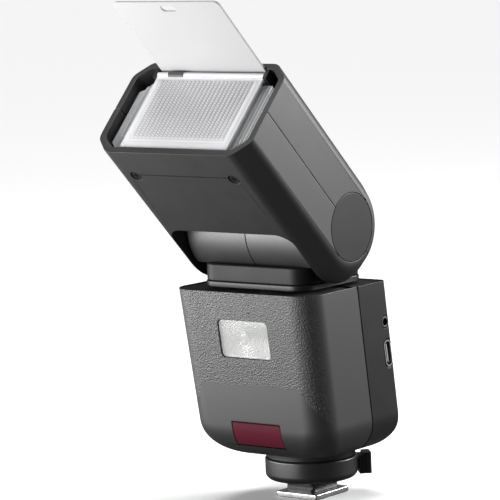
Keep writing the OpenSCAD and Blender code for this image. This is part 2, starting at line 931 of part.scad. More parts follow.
// The frame behind the lens, with feet for the two screws
module lens_frame() {
  color([0.1, 0.1, 0.1]) heading() difference() {
    union() {
      difference() {
        translate([0, -frame_back, 0]) rotate([90, 0, 0]) linear_extrude(frame_front - frame_back)
          lens_outline(-0.4);
        translate([0, -frame_back + over, 0]) rotate([90, 0, 0]) linear_extrude(10) lens_outline(2.6);
      }
      for (s = [-1, 1]) translate([s * screw_x_head, -frame_back + 3, -head_z + 5.45])
        block([-2.2, -3.2, 0], [2.2, 2.2, 1.5]);
    }
    head_screw_places() cylinder(r = 1.02, h = 9);
  }
}

module guide_rods() {
  color("silver") heading() for (s = [-1, 1]) translate([s * rod_x, 0, rod_z])
    bar_l(rod_r, cavity_l, frame_back);
}

module zoom_motor() {
  color("gray") heading() translate([0, 0, screw_axis_z]) bar_l(3, cavity_l, motor_front);
}

module zoom_screw() {
  color("silver") heading() translate([0, 0, screw_axis_z]) bar_l(0.9, motor_front + 0.1, mirror_front + 0.6);
}

function mirror_point(l, off) = [mirror_back + l, (mirror_h + off) * sqrt(l / mirror_d)];

// The trough's outline between its back and its mouth, off millimetres outside the bright curve
module mirror_outline(off) {
  n = 14;
  up = [for (i = [0:n]) mirror_point(mirror_d * pow(i / n, 2), off)];
  down = [for (i = [n:-1:1]) let (p = mirror_point(mirror_d * pow(i / n, 2), off)) [p[0], -p[1]]];
  polygon(concat(up, down));
}

// The reflector with its end plates, the shoes on the guide rods and the nut on the screw
module zoom_carriage() {
  shoe_l = 10;
  color("gainsboro") heading() difference() {
    union() {
      rotate([0, 0, -90]) rotate([90, 0, 0]) translate([0, 0, -mirror_x]) linear_extrude(2 * mirror_x)
        difference() {
          translate([-0.8, 0]) mirror_outline(0.8);
          mirror_outline(0);
        }
      for (s = [0, 1]) mirror([s, 0, 0]) {
        head_block(mirror_x, mirror_x + 1, mirror_back, mirror_front, rod_z - 0.5, mirror_h);
        head_block(mirror_x, rod_x + 1.8, nut_front - shoe_l, nut_front, rod_z - 1.9, rod_z + 1.9);
      }
      head_block(-mirror_x, mirror_x, nut_back, nut_front, rod_z - 1.9, -mirror_h - 0.7);
      head_block(-2.4, 2.4, nut_back, nut_front, screw_axis_z - 1.9, rod_z);
    }
    for (s = [-1, 1]) translate([s * rod_x, 0, rod_z]) bar_l(rod_r + run, 0, big / 2);
    translate([0, 0, screw_axis_z]) bar_l(1.1, 0, big / 2);
    translate([0, -lamp_l, 0]) bar_x(lamp_r + 0.1, -big / 2, big / 2);
  }
}

module flash_tube() {
  color([0.85, 0.88, 0.9, 0.6]) heading() translate([0, -lamp_l, 0])
    bar_x(lamp_r, -mirror_x - 2, mirror_x + 2);
}

// ---------- bounce card and wide panel ----------

// Guide for the card and the panel, with cheeks that carry the panel's pivot pin
module card_tray() {
  z1 = head_z - head_wall - 0.1;
  color([0.15, 0.15, 0.15]) heading() union() {
    head_block(-tray_x, tray_x, cavity_l, frame_front, tray_floor, tray_floor + 0.8);
    for (s = [0, 1]) mirror([s, 0, 0])
      head_block(tray_x - 0.5, tray_x + 0.9, cavity_l, pivot_l + 1, tray_floor, z1);
    translate([0, -pivot_l, pivot_z]) bar_x(pivot_r, -tray_x, tray_x);
  }
}

module bounce_card() {
  r = 2;
  color([0.95, 0.95, 0.95]) heading() difference() {
    translate([0, -(card_start + card_end) / 2, card_z]) linear_extrude(card_t) rounded(card_w, card_l, r);
    translate([0, -card_end + 3.4, card_z - over]) linear_extrude(card_t + 2 * over) rounded(6.4, 3, 1.45);
  }
}

module wide_panel() {
  low = -head_z + head_wall + 1.4;
  color([0.92, 0.94, 0.96, 0.4]) heading() difference() {
    union() {
      head_block(-panel_w / 2, panel_w / 2, pivot_l - panel_t / 2, pivot_l + panel_t / 2, low, pivot_z);
      translate([0, -pivot_l, pivot_z]) bar_x(barrel_r, -panel_w / 2, panel_w / 2);
    }
    translate([0, -pivot_l, pivot_z]) bar_x(pivot_r + run, -big / 2, big / 2);
  }
}

foot_plate();
foot_stem();
foot_contacts();
foot_screws();
lock_ring_housing();
lock_lever();
lock_pin();
base_pad();
front_shell();
rear_shell();
led_window();
led_reflector();
led_board();
af_window();
af_board();
battery_cells();
battery_cradle();
main_capacitor();
transformer();
main_board();
control_board();
display_panel();
display_window();
dial_encoder();
control_dial();
set_button();
mode_button();
menu_button();
test_button();
power_switch();
sync_jack();
usb_port();
body_screws();
swivel_bearing();
swivel_tube();
swivel_clip();
neck_base_plate();
neck_collar();
drum_left();
drum_right();
detent_spring();
friction_washers();
hinge_hub_left();
hinge_hub_right();
detent_disc();
head_upper_shell();
head_lower_shell();
hinge_cap_left();
hinge_cap_right();
lens_frame();
fresnel_lens();
head_screws();
guide_rods();
zoom_motor();
zoom_screw();
zoom_carriage();
flash_tube();
bounce_card();
wide_panel();
card_tray();
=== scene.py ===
"""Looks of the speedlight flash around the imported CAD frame, in millimetres; lights are in metres."""
import json
import math

import bmesh
import bpy
from mathutils import Matrix, Vector


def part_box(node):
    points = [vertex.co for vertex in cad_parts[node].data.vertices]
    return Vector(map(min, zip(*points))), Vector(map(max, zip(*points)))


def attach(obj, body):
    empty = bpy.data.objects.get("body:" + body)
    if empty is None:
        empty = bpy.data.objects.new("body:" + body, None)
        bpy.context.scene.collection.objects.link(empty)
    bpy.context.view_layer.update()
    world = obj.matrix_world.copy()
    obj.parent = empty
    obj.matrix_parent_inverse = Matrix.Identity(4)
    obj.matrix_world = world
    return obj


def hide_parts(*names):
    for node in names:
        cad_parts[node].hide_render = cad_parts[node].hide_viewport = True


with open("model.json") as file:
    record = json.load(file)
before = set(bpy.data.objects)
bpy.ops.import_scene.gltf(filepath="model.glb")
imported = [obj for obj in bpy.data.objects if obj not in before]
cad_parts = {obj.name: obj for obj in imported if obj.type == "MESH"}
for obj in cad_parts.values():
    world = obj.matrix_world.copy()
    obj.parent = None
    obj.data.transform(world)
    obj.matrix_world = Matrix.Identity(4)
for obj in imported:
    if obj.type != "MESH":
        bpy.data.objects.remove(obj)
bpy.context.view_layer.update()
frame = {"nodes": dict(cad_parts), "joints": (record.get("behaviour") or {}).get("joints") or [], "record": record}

MM = 0.001
JOINTS = {j["name"]: j for j in frame["joints"]}
NODES = frame["nodes"]


def cad(node):
    """Lowest and highest corner of a CAD node at rest, in millimetres."""
    low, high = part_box(node)
    return low / MM, high / MM


# ---------- driving sizes, read from the frame where it has them ----------

HINGE = Vector(JOINTS["head_tilt"]["pos_m"]) / MM
FORWARD = Vector(JOINTS["card_slide"]["axis"]).normalized()
REARWARD = Vector(JOINTS["dial_spin"]["axis"]).normalized()
ALONG = Vector(JOINTS["power_slide"]["axis"]).normalized()
BODY_TOP = cad("front_shell")[1].z
BODY_BASE = cad("front_shell")[0].z
BODY_HALF = cad("front_shell")[1].x
HEAD_HALF = cad("hinge_cap_right")[1].x
DRUM_HALF = cad("drum_right")[1].x
COLLAR_LOW, COLLAR_HIGH = cad("neck_collar")
BASE_LOW, BASE_HIGH = cad("neck_base_plate")
LEAN = math.atan2(-ALONG.y, ALONG.z)
FRONT, REAR, SEAM = -39.6, 8.0, -10.4
HEAD_Z = 20.57
HEAD_L = 64.5
CHAMFER = 6.2
MOUTH_L = 20.5
ARM_X = 27.1
CAP_R = 12.2
SEAM_GAP = 0.16
PLAY = 0.12


def frame_matrix(origin, x, y, z):
    m = Matrix((x, y, z)).transposed().to_4x4()
    m.translation = origin
    return m


X_AXIS = Vector((1, 0, 0))
ROW = Matrix.Identity(4)
HEAD = frame_matrix(HINGE, X_AXIS, -FORWARD, X_AXIS.cross(-FORWARD))
BODY = frame_matrix(Vector((0, 0, BODY_TOP)), X_AXIS, REARWARD, ALONG)


# ---------- mesh tools ----------

def linked(name, data):
    obj = bpy.data.objects.new(name, data)
    bpy.context.scene.collection.objects.link(obj)
    return obj


def scratch(bm, place=ROW):
    """A mesh object in metres from a bmesh drawn in millimetres in the frame `place`."""
    bmesh.ops.recalc_face_normals(bm, faces=bm.faces)
    bm.transform(Matrix.Scale(MM, 4) @ place)
    mesh = bpy.data.meshes.new("scratch")
    bm.to_mesh(mesh)
    bm.free()
    return linked("scratch", mesh)


def applied(obj):
    """Turns the object's modifiers into its mesh."""
    bpy.context.view_layer.update()
    deps = bpy.context.evaluated_depsgraph_get()
    mesh = bpy.data.meshes.new_from_object(obj.evaluated_get(deps))
    old = obj.data
    obj.modifiers.clear()
    obj.data = mesh
    bpy.data.meshes.remove(old)
    return obj


def weld(obj, distance=0.003):
    """Joins points that lie on each other and removes the slivers between them."""
    bm = bmesh.new()
    bm.from_mesh(obj.data)
    bmesh.ops.remove_doubles(bm, verts=bm.verts, dist=distance * MM)
    bmesh.ops.dissolve_degenerate(bm, edges=bm.edges, dist=distance * MM)
    bm.to_mesh(obj.data)
    bm.free()


def split_faces(obj, most=6):
    """Splits faces with more than `most` corners into triangles."""
    bm = bmesh.new()
    bm.from_mesh(obj.data)
    bmesh.ops.triangulate(bm, faces=[f for f in bm.faces if len(f.verts) > most])
    bm.to_mesh(obj.data)
    bm.free()


def cut(obj, *tools, op="DIFFERENCE"):
    """Boolean with scratch objects, which are removed afterwards."""
    for t in tools:
        mod = obj.modifiers.new("cut", "BOOLEAN")
        mod.operation = op
        mod.solver = "EXACT"
        mod.object = t
    applied(obj)
    weld(obj)
    for t in tools:
        mesh = t.data
        bpy.data.objects.remove(t)
        bpy.data.meshes.remove(mesh)
    return obj


def soften(obj, width, angle=32, segments=2):
    """Rounds every edge sharper than angle degrees."""
    mod = obj.modifiers.new("edges", "BEVEL")
    mod.width = width * MM
    mod.segments = segments
    mod.limit_method = "ANGLE"
    mod.angle_limit = math.radians(angle)
    mod.use_clamp_overlap = False
    mod.miter_outer = "MITER_ARC"
    mod.harden_normals = False
    return applied(obj)


def smooth(obj, angle=35):
    mesh = obj.data
    mesh.polygons.foreach_set("use_smooth", [True] * len(mesh.polygons))
    bm = bmesh.new()
    bm.from_mesh(mesh)
    limit = math.radians(angle)
    for e in bm.edges:
        e.smooth = len(e.link_faces) == 2 and e.calc_face_angle(0) < limit
    bm.to_mesh(mesh)
    bm.free()
    mod = obj.modifiers.new("normals", "WEIGHTED_NORMAL")
    mod.keep_sharp = True
    mod.weight = 60
    return applied(obj)


def finish(obj, name, body, material, *replaced, slot=None, sharp=35):
    """Names, shades, paints and attaches a finished piece."""
    obj.name = name
    obj.data.name = name
    smooth(obj, sharp)
    obj.data.materials.clear()
    obj.data.materials.append(material)
    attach(obj, body)
    if replaced:
        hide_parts(*replaced)
    return obj


def ring_faces(bm, a, b):
    n = len(a)
    for i in range(n):
        j = (i + 1) % n
        bm.faces.new((a[i], a[j], b[j], b[i]))


def loft(rings):
    """Closed solid through a list of rings with equal point counts."""
    bm = bmesh.new()
    rows = [[bm.verts.new(p) for p in ring] for ring in rings]
    for a, b in zip(rows, rows[1:]):
        ring_faces(bm, a, b)
    bm.faces.new(rows[0])
    bm.faces.new(rows[-1])
    return bm


def prism(outline, y0, y1):
    """Extrudes an (x, z) outline from y0 to y1."""
    return loft([[Vector((x, y0, z)) for x, z in outline], [Vector((x, y1, z)) for x, z in outline]])


def box(low, high):
    (x0, y0, z0), (x1, y1, z1) = low, high
    return prism([(x0, z0), (x1, z0), (x1, z1), (x0, z1)], y0, y1)


def circle(r, n=64, cx=0.0, cz=0.0):
    turns = [2 * math.pi * i / n for i in range(n)]
    return [(cx + r * math.cos(t), cz + r * math.sin(t)) for t in turns]


def arc(cx, cz, r, a0, a1, n):
    return [(cx + r * math.cos(math.radians(a0 + (a1 - a0) * i / n)),
             cz + r * math.sin(math.radians(a0 + (a1 - a0) * i / n))) for i in range(n + 1)]


def rounded(w, h, r, n=8, cx=0.0, cz=0.0):
    """Rectangle outline with round corners, counter-clockwise."""
    out = []
    for sx, sz, a in ((1, 1, 0), (-1, 1, 90), (-1, -1, 180), (1, -1, 270)):
        out += arc(cx + sx * (w / 2 - r), cz + sz * (h / 2 - r), r, a, a + 90, n)
    return out


def lathe(profile, n=96):
    """Closed solid of revolution about Z from (r, z) points whose first and last r are 0."""
    bm = bmesh.new()
    first = bm.verts.new((0, 0, profile[0][1]))
    last = bm.verts.new((0, 0, profile[-1][1]))
    rows = []
    for r, z in profile[1:-1]:
        rows.append([bm.verts.new((r * math.cos(2 * math.pi * i / n), r * math.sin(2 * math.pi * i / n), z))
                     for i in range(n)])
    for a, b in zip(rows, rows[1:]):
        ring_faces(bm, a, b)
    for i in range(n):
        j = (i + 1) % n
        bm.faces.new((first, rows[0][j], rows[0][i]))
        bm.faces.new((last, rows[-1][i], rows[-1][j]))
    return bm


def tube(r0, r1, z0, z1, edge=0.2, n=96):
    """Ring between radii r0 and r1 with rounded edges, about Z."""
    e = edge
    section = (arc(r1 - e, z0 + e, e, -90, 0, 3) + arc(r1 - e, z1 - e, e, 0, 90, 3)
               + arc(r0 + e, z1 - e, e, 90, 180, 3) + arc(r0 + e, z0 + e, e, 180, 270, 3))
    bm = bmesh.new()
    rows = [[bm.verts.new((r * math.cos(2 * math.pi * i / n), r * math.sin(2 * math.pi * i / n), z))
             for r, z in section] for i in range(n)]
    for i in range(n):
        ring_faces(bm, rows[i], rows[(i + 1) % n])
    return bm


def joined(*parts):
    """One object from several scratch objects."""
    bm = bmesh.new()
    for p in parts:
        bm.from_mesh(p.data)
    mesh = bpy.data.meshes.new("joined")
    bm.to_mesh(mesh)
    bm.free()
    for p in parts:
        old = p.data
        bpy.data.objects.remove(p)
        bpy.data.meshes.remove(old)
    return linked("joined", mesh)


TURN_X = Matrix(((0, 0, 1, 0), (0, 1, 0, 0), (-1, 0, 0, 0), (0, 0, 0, 1)))     # Z to +X
TURN_Y = Matrix(((1, 0, 0, 0), (0, 0, 1, 0), (0, -1, 0, 0), (0, 0, 0, 1)))     # Z to +Y


def at(x, y, z):
    return Matrix.Translation((x, y, z))


# ---------- materials ----------

class Paint:
    """A node material with a Principled shader and short calls for the usual textures."""

    def __init__(self, name, slot, color, rough, **sockets):
        self.mat = bpy.data.materials.new(name)
        self.mat.use_nodes = True
        self.mat["slot"] = slot
        self.tree = self.mat.node_tree
        self.shader = self.tree.nodes["Principled BSDF"]
        self.set("Base Color", (*color, 1.0))
        self.set("Roughness", rough)
        for key, value in sockets.items():
            self.set(key.replace("_", " "), value)
        self.coords = self.node("ShaderNodeTexCoord").outputs["Object"]
        self.last_normal = None

    def node(self, kind, **values):
        n = self.tree.nodes.new(kind)
        for key, value in values.items():
            setattr(n, key, value)
        return n

    def set(self, socket, value):
        self.shader.inputs[socket].default_value = value

    def link(self, a, b):
        self.tree.links.new(a, b)

    def noise(self, scale, detail=2.0, rough=0.5, distortion=0.0):
        n = self.node("ShaderNodeTexNoise")
        n.inputs["Scale"].default_value = scale
        n.inputs["Detail"].default_value = detail
        n.inputs["Roughness"].default_value = rough
        n.inputs["Distortion"].default_value = distortion
        self.link(self.coords, n.inputs["Vector"])
        return n.outputs["Fac"]

    def voronoi(self, scale, feature="F1", smoothness=0.0):
        n = self.node("ShaderNodeTexVoronoi", feature=feature)
        n.inputs["Scale"].default_value = scale
        if feature == "SMOOTH_F1":
            n.inputs["Smoothness"].default_value = smoothness
        self.link(self.coords, n.inputs["Vector"])
        return n.outputs["Distance"]

    def math(self, op, a, b, clamp=False):
        n = self.node("ShaderNodeMath", operation=op, use_clamp=clamp)
        for socket, value in zip(n.inputs, (a, b)):
            if isinstance(value, (int, float)):
                socket.default_value = value
            else:
                self.link(value, socket)
        return n.outputs[0]

    def spread(self, value, low, high):
        """Maps 0..1 to low..high."""
        n = self.node("ShaderNodeMapRange")
        n.inputs["To Min"].default_value = low
        n.inputs["To Max"].default_value = high
        self.link(value, n.inputs["Value"])
        return n.outputs["Result"]

    def bump(self, height, distance, strength=1.0):
        n = self.node("ShaderNodeBump")
        n.inputs["Distance"].default_value = distance * MM
        if isinstance(strength, (int, float)):
            n.inputs["Strength"].default_value = strength
        else:
            self.link(strength, n.inputs["Strength"])
        self.link(height, n.inputs["Height"])
        if self.last_normal:
            self.link(self.last_normal, n.inputs["Normal"])
        self.last_normal = n.outputs["Normal"]
        self.link(self.last_normal, self.shader.inputs["Normal"])
        return self

    def vary_roughness(self, low, high, scale=120.0):
        self.link(self.spread(self.noise(scale, 4.0, 0.6), low, high), self.shader.inputs["Roughness"])
        return self

    def blend(self, a, b, factor):
        """Base colour from a to b as the factor goes from 0 to 1."""
        n = self.node("ShaderNodeMix", data_type="RGBA")
        n.inputs["A"].default_value = (*a, 1.0)
        n.inputs["B"].default_value = (*b, 1.0)
        self.link(factor, n.inputs["Factor"])
        self.link(n.outputs["Result"], self.shader.inputs["Base Color"])
        return self

    def vary_colour(self, a, b, scale=60.0):
        return self.blend(a, b, self.noise(scale, 5.0, 0.65))


def satin(name, slot, dark, light, rough, grain=0.012, scale=2600.0, gloss=0.35):
    """Finely etched moulded plastic."""
    p = Paint(name, slot, dark, rough, Specular_IOR_Level=gloss)
    p.vary_colour(dark, light, 40.0)
    p.vary_roughness(rough - 0.05, rough + 0.05)
    p.bump(p.noise(scale, 3.0, 0.6), grain)
    return p.mat


def grey(v):
    return (v, v, v * 1.03)


def metal(name, slot, colour, rough, scale=900.0, grain=0.004):
    """Metal with a faint drawn or plated surface and small roughness changes."""
    p = Paint(name, slot, colour, rough, Metallic=1.0)
    p.vary_colour(tuple(0.9 * c for c in colour), colour, 150.0)
    p.vary_roughness(rough - 0.06, rough + 0.08, 300.0)
    p.bump(p.noise(scale, 4.0, 0.7), grain)
    return p.mat


def clear(name, slot, colour, alpha, rough=0.12, ripple=0.01):
    """Clear moulded plastic: a thin pale coat with a soft ripple."""
    p = Paint(name, slot, colour, rough, Alpha=alpha, IOR=1.49, Specular_IOR_Level=0.6)
    p.vary_colour(tuple(0.97 * c for c in colour), colour, 30.0)
    p.vary_roughness(rough - 0.04, rough + 0.06, 200.0)
    p.bump(p.noise(700.0, 2.0), ripple)
    return p.mat


def circuit():
    """Solder mask with raised copper tracks and paler pads."""
    p = Paint("solder_mask", "circuit_board", (0.01, 0.07, 0.03), 0.35)
    tracks = p.voronoi(420.0)
    pads = p.math("LESS_THAN", p.voronoi(300.0), 0.16)
    p.blend((0.010, 0.075, 0.032), (0.30, 0.27, 0.18), pads)
    p.vary_roughness(0.3, 0.42, 400.0)
    p.bump(tracks, 0.05)
    return p.mat


def wound_copper():
    """Enamelled wire laid side by side."""
    p = Paint("wound_copper", "copper_core", (0.55, 0.24, 0.08), 0.35, Metallic=0.7)
    wave = p.node("ShaderNodeTexWave", wave_type="BANDS", bands_direction="Z")
    wave.inputs["Scale"].default_value = 420.0
    p.link(p.coords, wave.inputs["Vector"])
    p.vary_colour((0.50, 0.20, 0.07), (0.62, 0.30, 0.11), 80.0)
    p.bump(wave.outputs["Fac"], 0.12)
    return p.mat


def red_filter():
    """Deep red infrared filter with a faint moulded ripple."""
    p = Paint("red_filter", "red_filter", (0.085, 0.008, 0.018), 0.28, IOR=1.49)
    p.vary_colour((0.066, 0.0060, 0.015), (0.088, 0.0095, 0.020), 90.0)
    p.bump(p.noise(300.0, 2.0), 0.004)
    return p.mat


def grained_leather():
    """Leather-like moulded grain on the front, fading to a smooth band low on the front."""
    p = Paint("grained_black", "grained_plastic", grey(0.03), 0.55, Specular_IOR_Level=0.85)
    split = p.node("ShaderNodeSeparateXYZ")
    p.link(p.coords, split.inputs["Vector"])
    height = p.math("MULTIPLY", split.outputs["Z"], 1000.0)
    side = p.math("MULTIPLY", p.math("ABSOLUTE", split.outputs["X"], 0.0), 1000.0)
    beyond = p.math("MAXIMUM", p.math("SUBTRACT", side, BAND_HALF), 0.0)
    limit = p.math("SUBTRACT", BAND_TOP, p.math("MULTIPLY", beyond, BAND_SLOPE))
    above = p.math("ADD", p.math("MULTIPLY", p.math("SUBTRACT", height, limit), 0.9), 0.5, clamp=True)
    narrowed = p.math("ADD", side, p.math("MULTIPLY", p.math("SUBTRACT", BODY_TOP, height), TAPER))
    inside = p.math("MULTIPLY", p.math("SUBTRACT", BODY_HALF - 0.3, narrowed), 0.8, clamp=True)
    above = p.math("MULTIPLY", above, inside)
    pebbles = p.voronoi(2000.0, "SMOOTH_F1", 0.4)
    lumps = p.noise(1300.0, 3.0, 0.6, 0.6)
    grain = p.math("ADD", p.math("MULTIPLY", pebbles, 1.1), p.math("MULTIPLY", lumps, 0.9))
    grain = p.math("SUBTRACT", grain, GRAIN_MEAN)
    p.bump(p.noise(2400.0, 2.0), 0.01)
    p.bump(p.math("MULTIPLY", grain, above), 0.18)
    p.blend(grey(0.010), grey(0.018), lumps)
    p.link(p.spread(above, 0.46, 0.54), p.shader.inputs["Roughness"])
    return p.mat


BAND_TOP, BAND_HALF, BAND_SLOPE = 45.7, 21.5, 1.6
GRAIN_MEAN = 0.85
TAPER = 0.02

GRAINED = grained_leather()
BLACK = satin("satin_black", "black_plastic", grey(0.009), grey(0.013), 0.42, gloss=0.34)
HEAD_BLACK = satin("etched_black", "black_plastic", grey(0.010), grey(0.014), 0.50, gloss=0.70)
# A darker, less glossy copy of the black plastic: painted shade for the collar, which sits in the head's shadow.
SHADED_COLLAR_BLACK = satin("collar_black_painted_shade", "black_plastic", grey(0.007), grey(0.010), 0.46, gloss=0.14)
RING_BLACK = satin("ring_black", "black_plastic", grey(0.008), grey(0.011), 0.36, gloss=0.70)
DARK = satin("dark_black", "dark_plastic", grey(0.012), grey(0.017), 0.36)
DRUM = satin("drum_black", "drum_plastic", grey(0.010), grey(0.013), 0.50, 0.006, 3200.0, gloss=0.85)
KEY = satin("key_grey", "key_plastic", grey(0.045), grey(0.052), 0.48)
DIAL = satin("dial_black", "dial_plastic", grey(0.018), grey(0.023), 0.40)
PLATED = metal("plated_foot", "foot_metal", (0.86, 0.86, 0.85), 0.24)
STEEL = metal("bright_steel", "steel", (0.62, 0.62, 0.63), 0.30)
BLACK_STEEL = metal("black_steel", "black_steel", (0.09, 0.09, 0.095), 0.38)
GOLD = metal("gold_contact", "contact_gold", (0.86, 0.62, 0.25), 0.25)
CLEAR = clear("clear_lens", "clear_plastic", (0.66, 0.67, 0.68), 0.45)
LED_LENS = clear("led_lens", "led_lens", (0.55, 0.55, 0.545), 0.42, 0.16)
RED = red_filter()
CARD = satin("white_card", "white_card", (0.33, 0.33, 0.33), (0.35, 0.35, 0.35), 0.5, 0.004, 1500.0)
GLASS = Paint("display_glass", "display_glass", (0.006, 0.006, 0.008), 0.08, Coat_Weight=0.6)
GLASS = GLASS.vary_roughness(0.06, 0.12, 90.0).mat
LCD = satin("display_cell", "lcd", (0.045, 0.052, 0.045), (0.055, 0.062, 0.052), 0.3, 0.002, 900.0)
BOARD = circuit()
CELL = satin("cell_wrap", "cell_wrap", (0.02, 0.09, 0.22), (0.03, 0.11, 0.26), 0.3, 0.004, 400.0)
SLEEVE = satin("capacitor_sleeve", "capacitor_sleeve", (0.012, 0.012, 0.02), (0.02, 0.02, 0.03),
               0.3, 0.004, 400.0)
COPPER = wound_copper()
MIRROR = Paint("bright_reflector", "bright_reflector", (0.93, 0.93, 0.92), 0.22, Metallic=0.55)
MIRROR = MIRROR.vary_roughness(0.16, 0.30, 220.0).mat
TUBE_GLASS = clear("flash_glass", "flash_glass", (0.92, 0.93, 0.90), 0.5, 0.08, 0.004)
FIBRE = satin("fibre_washer", "fibre_washer", (0.30, 0.20, 0.11), (0.38, 0.27, 0.16), 0.7, 0.02, 1200.0)
BY_SLOT = {m["slot"]: m for m in (GRAINED, BLACK, DARK, DRUM, KEY, DIAL, PLATED, STEEL, BLACK_STEEL, GOLD,
                                  CLEAR, LED_LENS, RED, CARD, GLASS, LCD, BOARD, CELL, SLEEVE, COPPER,
                                  MIRROR, TUBE_GLASS, FIBRE)}


def paint_cad_nodes():
    """Gives every CAD node the material of its slot in the record."""
    for part in frame["record"]["subparts"]:
        node = NODES[part["node"]]
        node.data.materials.clear()
        node.data.materials.append(BY_SLOT[part["material_slot"]])


# ---------- camera, floor and light ----------

def make_camera():
    """The photograph's view: aim point, azimuth, elevation, roll and distance, then the lens."""
    azimuth, elevation, roll = math.radians(37.86), math.radians(7.10), math.radians(2.33)
    target = Vector((-24.54, 0.0, 89.12)) * MM
    distance = 1169.5 * MM
    back = Vector((math.sin(azimuth) * math.cos(elevation), -math.cos(azimuth) * math.cos(elevation),
                   math.sin(elevation)))
    right = Vector((math.cos(azimuth), math.sin(azimuth), 0.0))
    up = back.cross(right)
    r = right * math.cos(roll) - up * math.sin(roll)
    u = right * math.sin(roll) + up * math.cos(roll)
    data = bpy.data.cameras.new("camera")
    data.sensor_width = 36.0
    data.lens = 6.347 * data.sensor_width
    data.clip_start, data.clip_end = 0.05, 20.0
    camera = linked("camera", data)
    camera.matrix_world = frame_matrix(target + back * distance, r, u, back)
    bpy.context.scene.camera = camera


def softbox(name, azimuth, distance, height, size, power, aim=(0.0, -0.015, 0.11)):
    """An area light, in metres, at an azimuth from the flash's front that is positive towards +X."""
    data = bpy.data.lights.new(name, "AREA")
    data.shape = "RECTANGLE"
    data.size, data.size_y = size
    data.energy = power
    light = linked(name, data)
    a = math.radians(azimuth)
    light.location = (distance * math.sin(a), -distance * math.cos(a), height)
    light.rotation_euler = (Vector(aim) - light.location).to_track_quat("-Z", "Y").to_euler()
    light.visible_camera = False


def make_floor():
    """A floor that is pale to the camera and sends little light back up to the flash."""
    floor = scratch(box((-6000, -6000, -1.0), (6000, 6000, 0.0)), at(0, 0, -0.02))
    floor.name = "floor"
    p = Paint("floor_white", "floor", (0.86, 0.86, 0.86), 0.9, Specular_IOR_Level=0.1)
    p.vary_roughness(0.85, 0.95, 3.0)
    seen = p.node("ShaderNodeLightPath").outputs["Is Camera Ray"]
    p.blend((0.08, 0.08, 0.08), (0.90, 0.90, 0.90), seen)
    floor.data.materials.append(p.mat)


AMBIENT = 0.12


def make_world():
    """White to the camera, dimmer as a light, so that the softboxes shape the black plastic."""
    world = bpy.data.worlds.new("studio")
    world.use_nodes = True
    tree = world.node_tree
    shade = tree.nodes["Background"]
    shade.inputs["Color"].default_value = (1.0, 1.0, 1.0, 1.0)
    path = tree.nodes.new("ShaderNodeLightPath")
    level = tree.nodes.new("ShaderNodeMapRange")
    level.inputs["To Min"].default_value = AMBIENT
    level.inputs["To Max"].default_value = 1.0
    tree.links.new(path.outputs["Is Camera Ray"], level.inputs["Value"])
    tree.links.new(level.outputs["Result"], shade.inputs["Strength"])
    bpy.context.scene.world = world
    bpy.context.scene.view_settings.view_transform = "Standard"


def overhead(power, spread):
    """Even light from straight above, which keeps the floor white out to the far edge."""
    data = bpy.data.lights.new("overhead", "SUN")
    data.energy = power
    data.angle = math.radians(spread)
    linked("overhead", data)


def make_stage():
    make_floor()
    make_world()
    overhead(2.9, 40.0)
    softbox("low_key", -38.0, 0.34, 0.06, (0.50, 0.30), 6.3, aim=(0.0, -0.015, 0.45))
    softbox("side", 140.0, 0.75, 0.36, (0.35, 0.42), 10.5)


# ---------- body ----------

LEAN_COS, LEAN_SIN, LEAN_TAN = math.cos(LEAN), math.sin(LEAN), math.tan(LEAN)
EDGE_R, REAR_EDGE_R, CORNER_R, CHIN_R, HEEL_R = 9.4, 3.5, 13.5, 14.0, 8.0
LED_W, LED_H, LED_DROP = 21.8, 14.0, 4.4
AF_W, AF_Z, AF_H = 21.6, 22.6, 8.9


def half_width(z):
    corner = BODY_BASE + CORNER_R
    wide = BODY_HALF - TAPER * (BODY_TOP - max(z, corner))
    return wide if z >= corner else wide - CORNER_R + math.sqrt(max(0.0, CORNER_R ** 2 - (z - corner) ** 2))


def face_y(z, offset, radius, side):
    """Y of the front (side -1) or rear (side 1) face at height z, with its rounded lower edge."""
    plane = offset / LEAN_COS + (BODY_TOP - z) * LEAN_TAN
    zc = BODY_BASE + radius
    if z >= zc + side * radius * LEAN_SIN:
        return plane
    yc = offset / LEAN_COS + (BODY_TOP - zc) * LEAN_TAN - side * radius / LEAN_COS
    return yc + side * math.sqrt(max(0.0, radius ** 2 - (z - zc) ** 2))


def body_ring(z, inset=0.0):
    x = half_width(z) - inset
    y0 = face_y(z, FRONT, CHIN_R, -1) + inset
    y1 = face_y(z, REAR, HEEL_R, 1) - inset
    f, r = EDGE_R - inset, REAR_EDGE_R - inset
    corners = (arc(x - r, y1 - r, r, 0, 90, 6) + arc(-x + r, y1 - r, r, 90, 180, 6)
               + arc(-x + f, y0 + f, f, 180, 270, 14) + arc(x - f, y0 + f, f, 270, 360, 14))
    return [Vector((px, py, z)) for px, py in corners]


def body_form(inset=0.0, top_edge=0.7):
    """The whole body as one smooth solid: level slices from the top edge down to the flat base."""
    rings = []
    top = BODY_TOP - inset
    for i in range(5):
        t = math.radians(90 * i / 4)
        rings.append(body_ring(top - top_edge * (1 - math.cos(math.pi / 2 - t)),
                               inset + top_edge * (1 - math.sin(t))))
    start = BODY_BASE + CHIN_R + 3
    steps = 12
    for i in range(1, steps):
        rings.append(body_ring(top - top_edge + (start - top + top_edge) * i / steps, inset))
    for i in range(27):
        t = math.radians(90 * i / 26)
        z = BODY_BASE + inset + (start - BODY_BASE - inset) * (1 - math.sin(t))
        rings.append(body_ring(max(z, BODY_BASE + 0.001), inset))
    return loft(rings)


